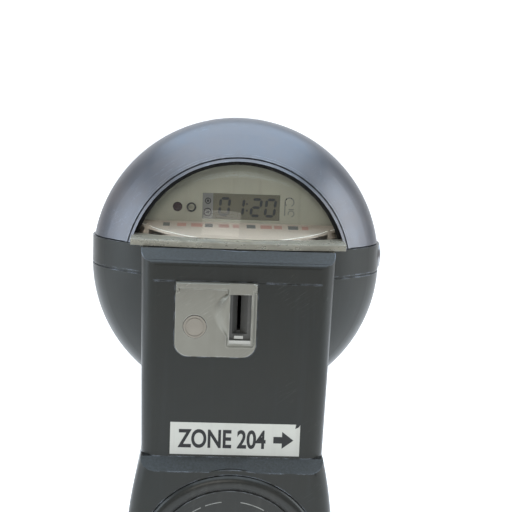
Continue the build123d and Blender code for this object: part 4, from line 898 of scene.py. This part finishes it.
CAPS, WORDS_WIDE, WORDS_LEFT = 13.2 * MM, 59.5 * MM, 5.2 * MM
TYPE_WEIGHT = 0.026             # how far each stroke is fattened, in type units
caps_foot = label_low.z + 4.6 * MM
words, words_end = type_mesh("label_words", "ZONE 204", label_low.x + WORDS_LEFT, caps_foot,
                             CAPS, WORDS_WIDE, TYPE_WEIGHT)
settle(words, "housing", finishes["black_ink"])
ARROW_LONG, SHAFT_LONG = 13.6 * MM, 5.8 * MM
SHAFT_HALF, HEAD_HALF = 2.3 * MM, 6.0 * MM
tail_x, arrow_z = words_end + 5.2 * MM, caps_foot + CAPS / 2
neck_x, tip_x = tail_x + SHAFT_LONG, tail_x + ARROW_LONG
arrow = [[(tail_x, arrow_z - SHAFT_HALF), (neck_x, arrow_z - SHAFT_HALF),
          (neck_x, arrow_z - HEAD_HALF), (tip_x, arrow_z), (neck_x, arrow_z + HEAD_HALF),
          (neck_x, arrow_z + SHAFT_HALF), (tail_x, arrow_z + SHAFT_HALF)]]
marks("label_arrow", arrow, LABEL_FRONT, "housing", "label_film", finishes["black_ink"])
print("label words end at %.1f mm" % (words_end / MM))

# %% [markdown]
# ## The coin plate
# The plate is cast, so it has no sharp steps: a shoulder swells up beside the slot's channel
# to guide a coin in, and the top edge rolls into a lip. Both are heights added to a flat
# grid, and the holes for the slot insert and the button are cut afterwards.

# %% Coin plate height field
plate_low, plate_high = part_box("coin_plate")
insert_low, insert_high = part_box("coin_slot_insert")
button_low, button_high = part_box("coin_button")
PLATE_FACE = NECK_FRONT - 1.0 * MM
PLATE_REAR = PLATE_FACE + 3.0 * MM
PLATE_CORNER = 9.5 * MM
SHOULDER_RISE = 3.0 * MM        # how far the shoulder stands out from the face
LIP_HEIGHT, LIP_RISE = 4.0 * MM, 2.9 * MM
HOOK_WIDE, HOOK_RISE = 3.0 * MM, 2.4 * MM    # the lip turns down at both of its ends
INSERT_LEFT = insert_low.x + 0.8 * MM
INSERT_RIGHT = insert_high.x - 1.2 * MM
INSERT_FOOT = insert_low.z + 1.0 * MM
INSERT_TOP = insert_high.z


def smooth_step(value):
    """0 below 0, 1 above 1, and 3 t^2 - 2 t^3 between."""
    t = np.clip(value, 0, 1)
    return t * t * (3 - 2 * t)


def plate_height(x, z):
    """Height in front of the plate's face: shoulder by the channel, lip along the top."""
    rise = np.clip((z - INSERT_FOOT) / (INSERT_TOP - INSERT_FOOT), 0, 1)
    belly = np.sin(np.pi * np.clip(1.12 * (1 - rise) ** 0.8, 0, 1))
    spread = (2.2 + 9.5 * belly) * MM
    left = smooth_step((x - (INSERT_LEFT - spread)) / (0.85 * spread))
    right = smooth_step((plate_high.x - 0.2 * MM - x) / (3.0 * MM))
    foot = smooth_step((z - INSERT_FOOT + 3.6 * MM) / (3.4 * MM))
    shoulder = SHOULDER_RISE * left * right * foot
    lip = LIP_RISE * smooth_step((z - (plate_high.z - LIP_HEIGHT - 0.9 * MM)) / (1.1 * MM))
    edge = np.sqrt(np.clip(1 - np.clip(1 - (plate_high.z - z) / (1.2 * MM), 0, 1) ** 2, 0, 1))
    sides = np.minimum(x - plate_low.x, plate_high.x - x)
    hook = (HOOK_RISE * smooth_step((HOOK_WIDE - sides) / (1.0 * MM))
            * smooth_step((z - (plate_high.z - LIP_HEIGHT - 4.0 * MM)) / (3.0 * MM)))
    rolled = np.sqrt(np.clip(1 - np.clip(1 - sides / (0.9 * MM), 0, 1) ** 2, 0, 1))
    raised = np.maximum(np.maximum(shoulder, lip * edge), hook * edge)
    return raised * rolled - 0.5 * MM * (1 - rolled)


def plate_grid(rows=180, columns=190):
    """x runs between the outline's sides at each z; the lower corners are quarter circles."""
    z = np.linspace(plate_low.z, plate_high.z, rows)[:, None]
    below = np.clip(PLATE_CORNER - (z - plate_low.z), 0, PLATE_CORNER)
    pull = PLATE_CORNER - np.sqrt(PLATE_CORNER ** 2 - below ** 2)
    t = 0.5 - 0.5 * np.cos(np.linspace(0, np.pi, columns))[None, :]
    t = 0.5 * t + 0.5 * np.linspace(0, 1, columns)[None, :]
    x = (plate_low.x + pull) * (1 - t) + (plate_high.x - pull) * t
    return x, np.broadcast_to(z, x.shape)


gx, gz = plate_grid()
outer = np.stack([gx, PLATE_FACE - plate_height(gx, gz), gz], -1)
inner = np.stack([gx, np.full(gx.shape, PLATE_REAR), gz], -1)
plate = closed_plate("coin_plate_cast", outer, inner, "housing",
                     finishes["coin_plate_metal"], smooth_angle=50.0)


def cutter(name, ring, before=6.0 * MM, behind=2.0 * MM):
    """Prism through the plate from an XZ outline, used once to cut a hole."""
    n = len(ring)
    ring = np.asarray(ring, float)
    near, far = PLATE_FACE - before, PLATE_REAR + behind
    points = np.concatenate([np.stack([ring[:, 0], np.full(n, y), ring[:, 1]], -1)
                             for y in (near, far)])
    here = np.arange(n)
    after = (here + 1) % n
    faces = [list(here), list(n + here[::-1])]
    faces += np.stack([here, n + here, n + after, after], -1).tolist()
    return new_mesh(name, points, faces, smooth=False)


def cut_hole(piece, ring):
    """Boolean difference with the cutter, applied to the mesh at once."""
    tool = cutter("hole_tool", ring)
    shape = bmesh.new()
    shape.from_mesh(tool.data)
    bmesh.ops.recalc_face_normals(shape, faces=shape.faces)
    shape.to_mesh(tool.data)
    shape.free()
    cut = piece.modifiers.new("hole", "BOOLEAN")
    cut.operation, cut.object, cut.solver = "DIFFERENCE", tool, "EXACT"
    bpy.context.view_layer.update()
    done = bpy.data.meshes.new_from_object(piece.evaluated_get(
        bpy.context.evaluated_depsgraph_get()))
    piece.modifiers.remove(cut)
    piece.data = done
    bpy.data.objects.remove(tool)


HOLE_R, HOLE_SIDES = 7.9 * MM, 72
button_x, button_z = (button_low.x + button_high.x) / 2, (button_low.z + button_high.z) / 2
turn = np.linspace(0, 2 * np.pi, HOLE_SIDES, endpoint=False)
cut_hole(plate, np.stack([button_x + HOLE_R * np.cos(turn), button_z + HOLE_R * np.sin(turn)], -1))
cut_hole(plate, rectangle(INSERT_LEFT, INSERT_RIGHT, INSERT_FOOT, INSERT_TOP))
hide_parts("coin_plate")
print("coin plate faces:", len(plate.data.polygons))

# %% [markdown]
# ## The slot insert
# The insert's cheeks are dark where they lead inwards, which is painted shade inside the slot,
# and bright where coins strike its front, so its finish changes with depth along Y rather
# than with a picture.

# %% Insert finish by depth
def insert_finish_with_painted_shade():
    """Bright metal at the front, dark grey further in as painted shade: colour by depth behind the
    face.
    """
    material = finish("slot_insert_painted_shade", (0.10, 0.10, 0.095), (0.14, 0.135, 0.12), metal=0.5,
                      rough=(0.4, 0.55), dust_and_sheen=0.3, lines=0.9, peel=0.02)
    tree = material.node_tree
    shader = tree.nodes["Principled BSDF"]
    dark = shader.inputs["Base Color"].links[0].from_socket
    place = add(tree, "ShaderNodeTexCoord").outputs["Object"]
    depth = add(tree, "ShaderNodeSeparateXYZ", {0: place}).outputs["Y"]
    # Painted shade: the colour turns from bright to dark grey with depth into the slot.
    front = ramp(tree, depth, PLATE_FACE - 0.3 * MM, PLATE_FACE - 0.9 * MM)
    tree.links.new(mixed(tree, front, dark, (0.52, 0.51, 0.46)), shader.inputs["Base Color"])
    return material


finishes["slot_insert_painted_shade"] = insert_finish_with_painted_shade()
nodes["coin_slot_insert"].data.materials[0] = finishes["slot_insert_painted_shade"]
nodes["coin_button"].data.materials[0] = finish(
    "button_metal", (0.34, 0.31, 0.26), (0.27, 0.24, 0.20), rough=(0.32, 0.5), metal=0.8,
    lines=0.6, peel=0.02, dust_and_sheen=0.3, dirt_and_sheen=(0.22, 0.17, 0.12))

# %% [markdown]
# ## Painted arcs on the vault door
# The door's flat face carries a plain painted circle that wear has broken into short arcs.

# %% Door arcs
door_low, door_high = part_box("vault_door")
door_z = (door_low.z + door_high.z) / 2
DOOR_FACE = door_low.y + 2.0 * MM
ARC_R, ARC_WIDTH = 46.4 * MM, 0.6 * MM
ARC_SPANS = ((28, 58), (61, 82), (98, 112), (116, 150), (208, 262), (268, 332))   # degrees
arcs = []
for start, end in ARC_SPANS:
    arcs += ring_parts(0.0, door_z, ARC_R, ARC_R - ARC_WIDTH, start, end, 32)
worn_ink = flat_finish("worn_ink", (0.24, 0.24, 0.22), rough=0.6)
marks("door_arcs", arcs, DOOR_FACE, "door", "door_paint", worn_ink, thick=0.05 * MM)
print("arcs round the lock:", len(arcs), "steps")
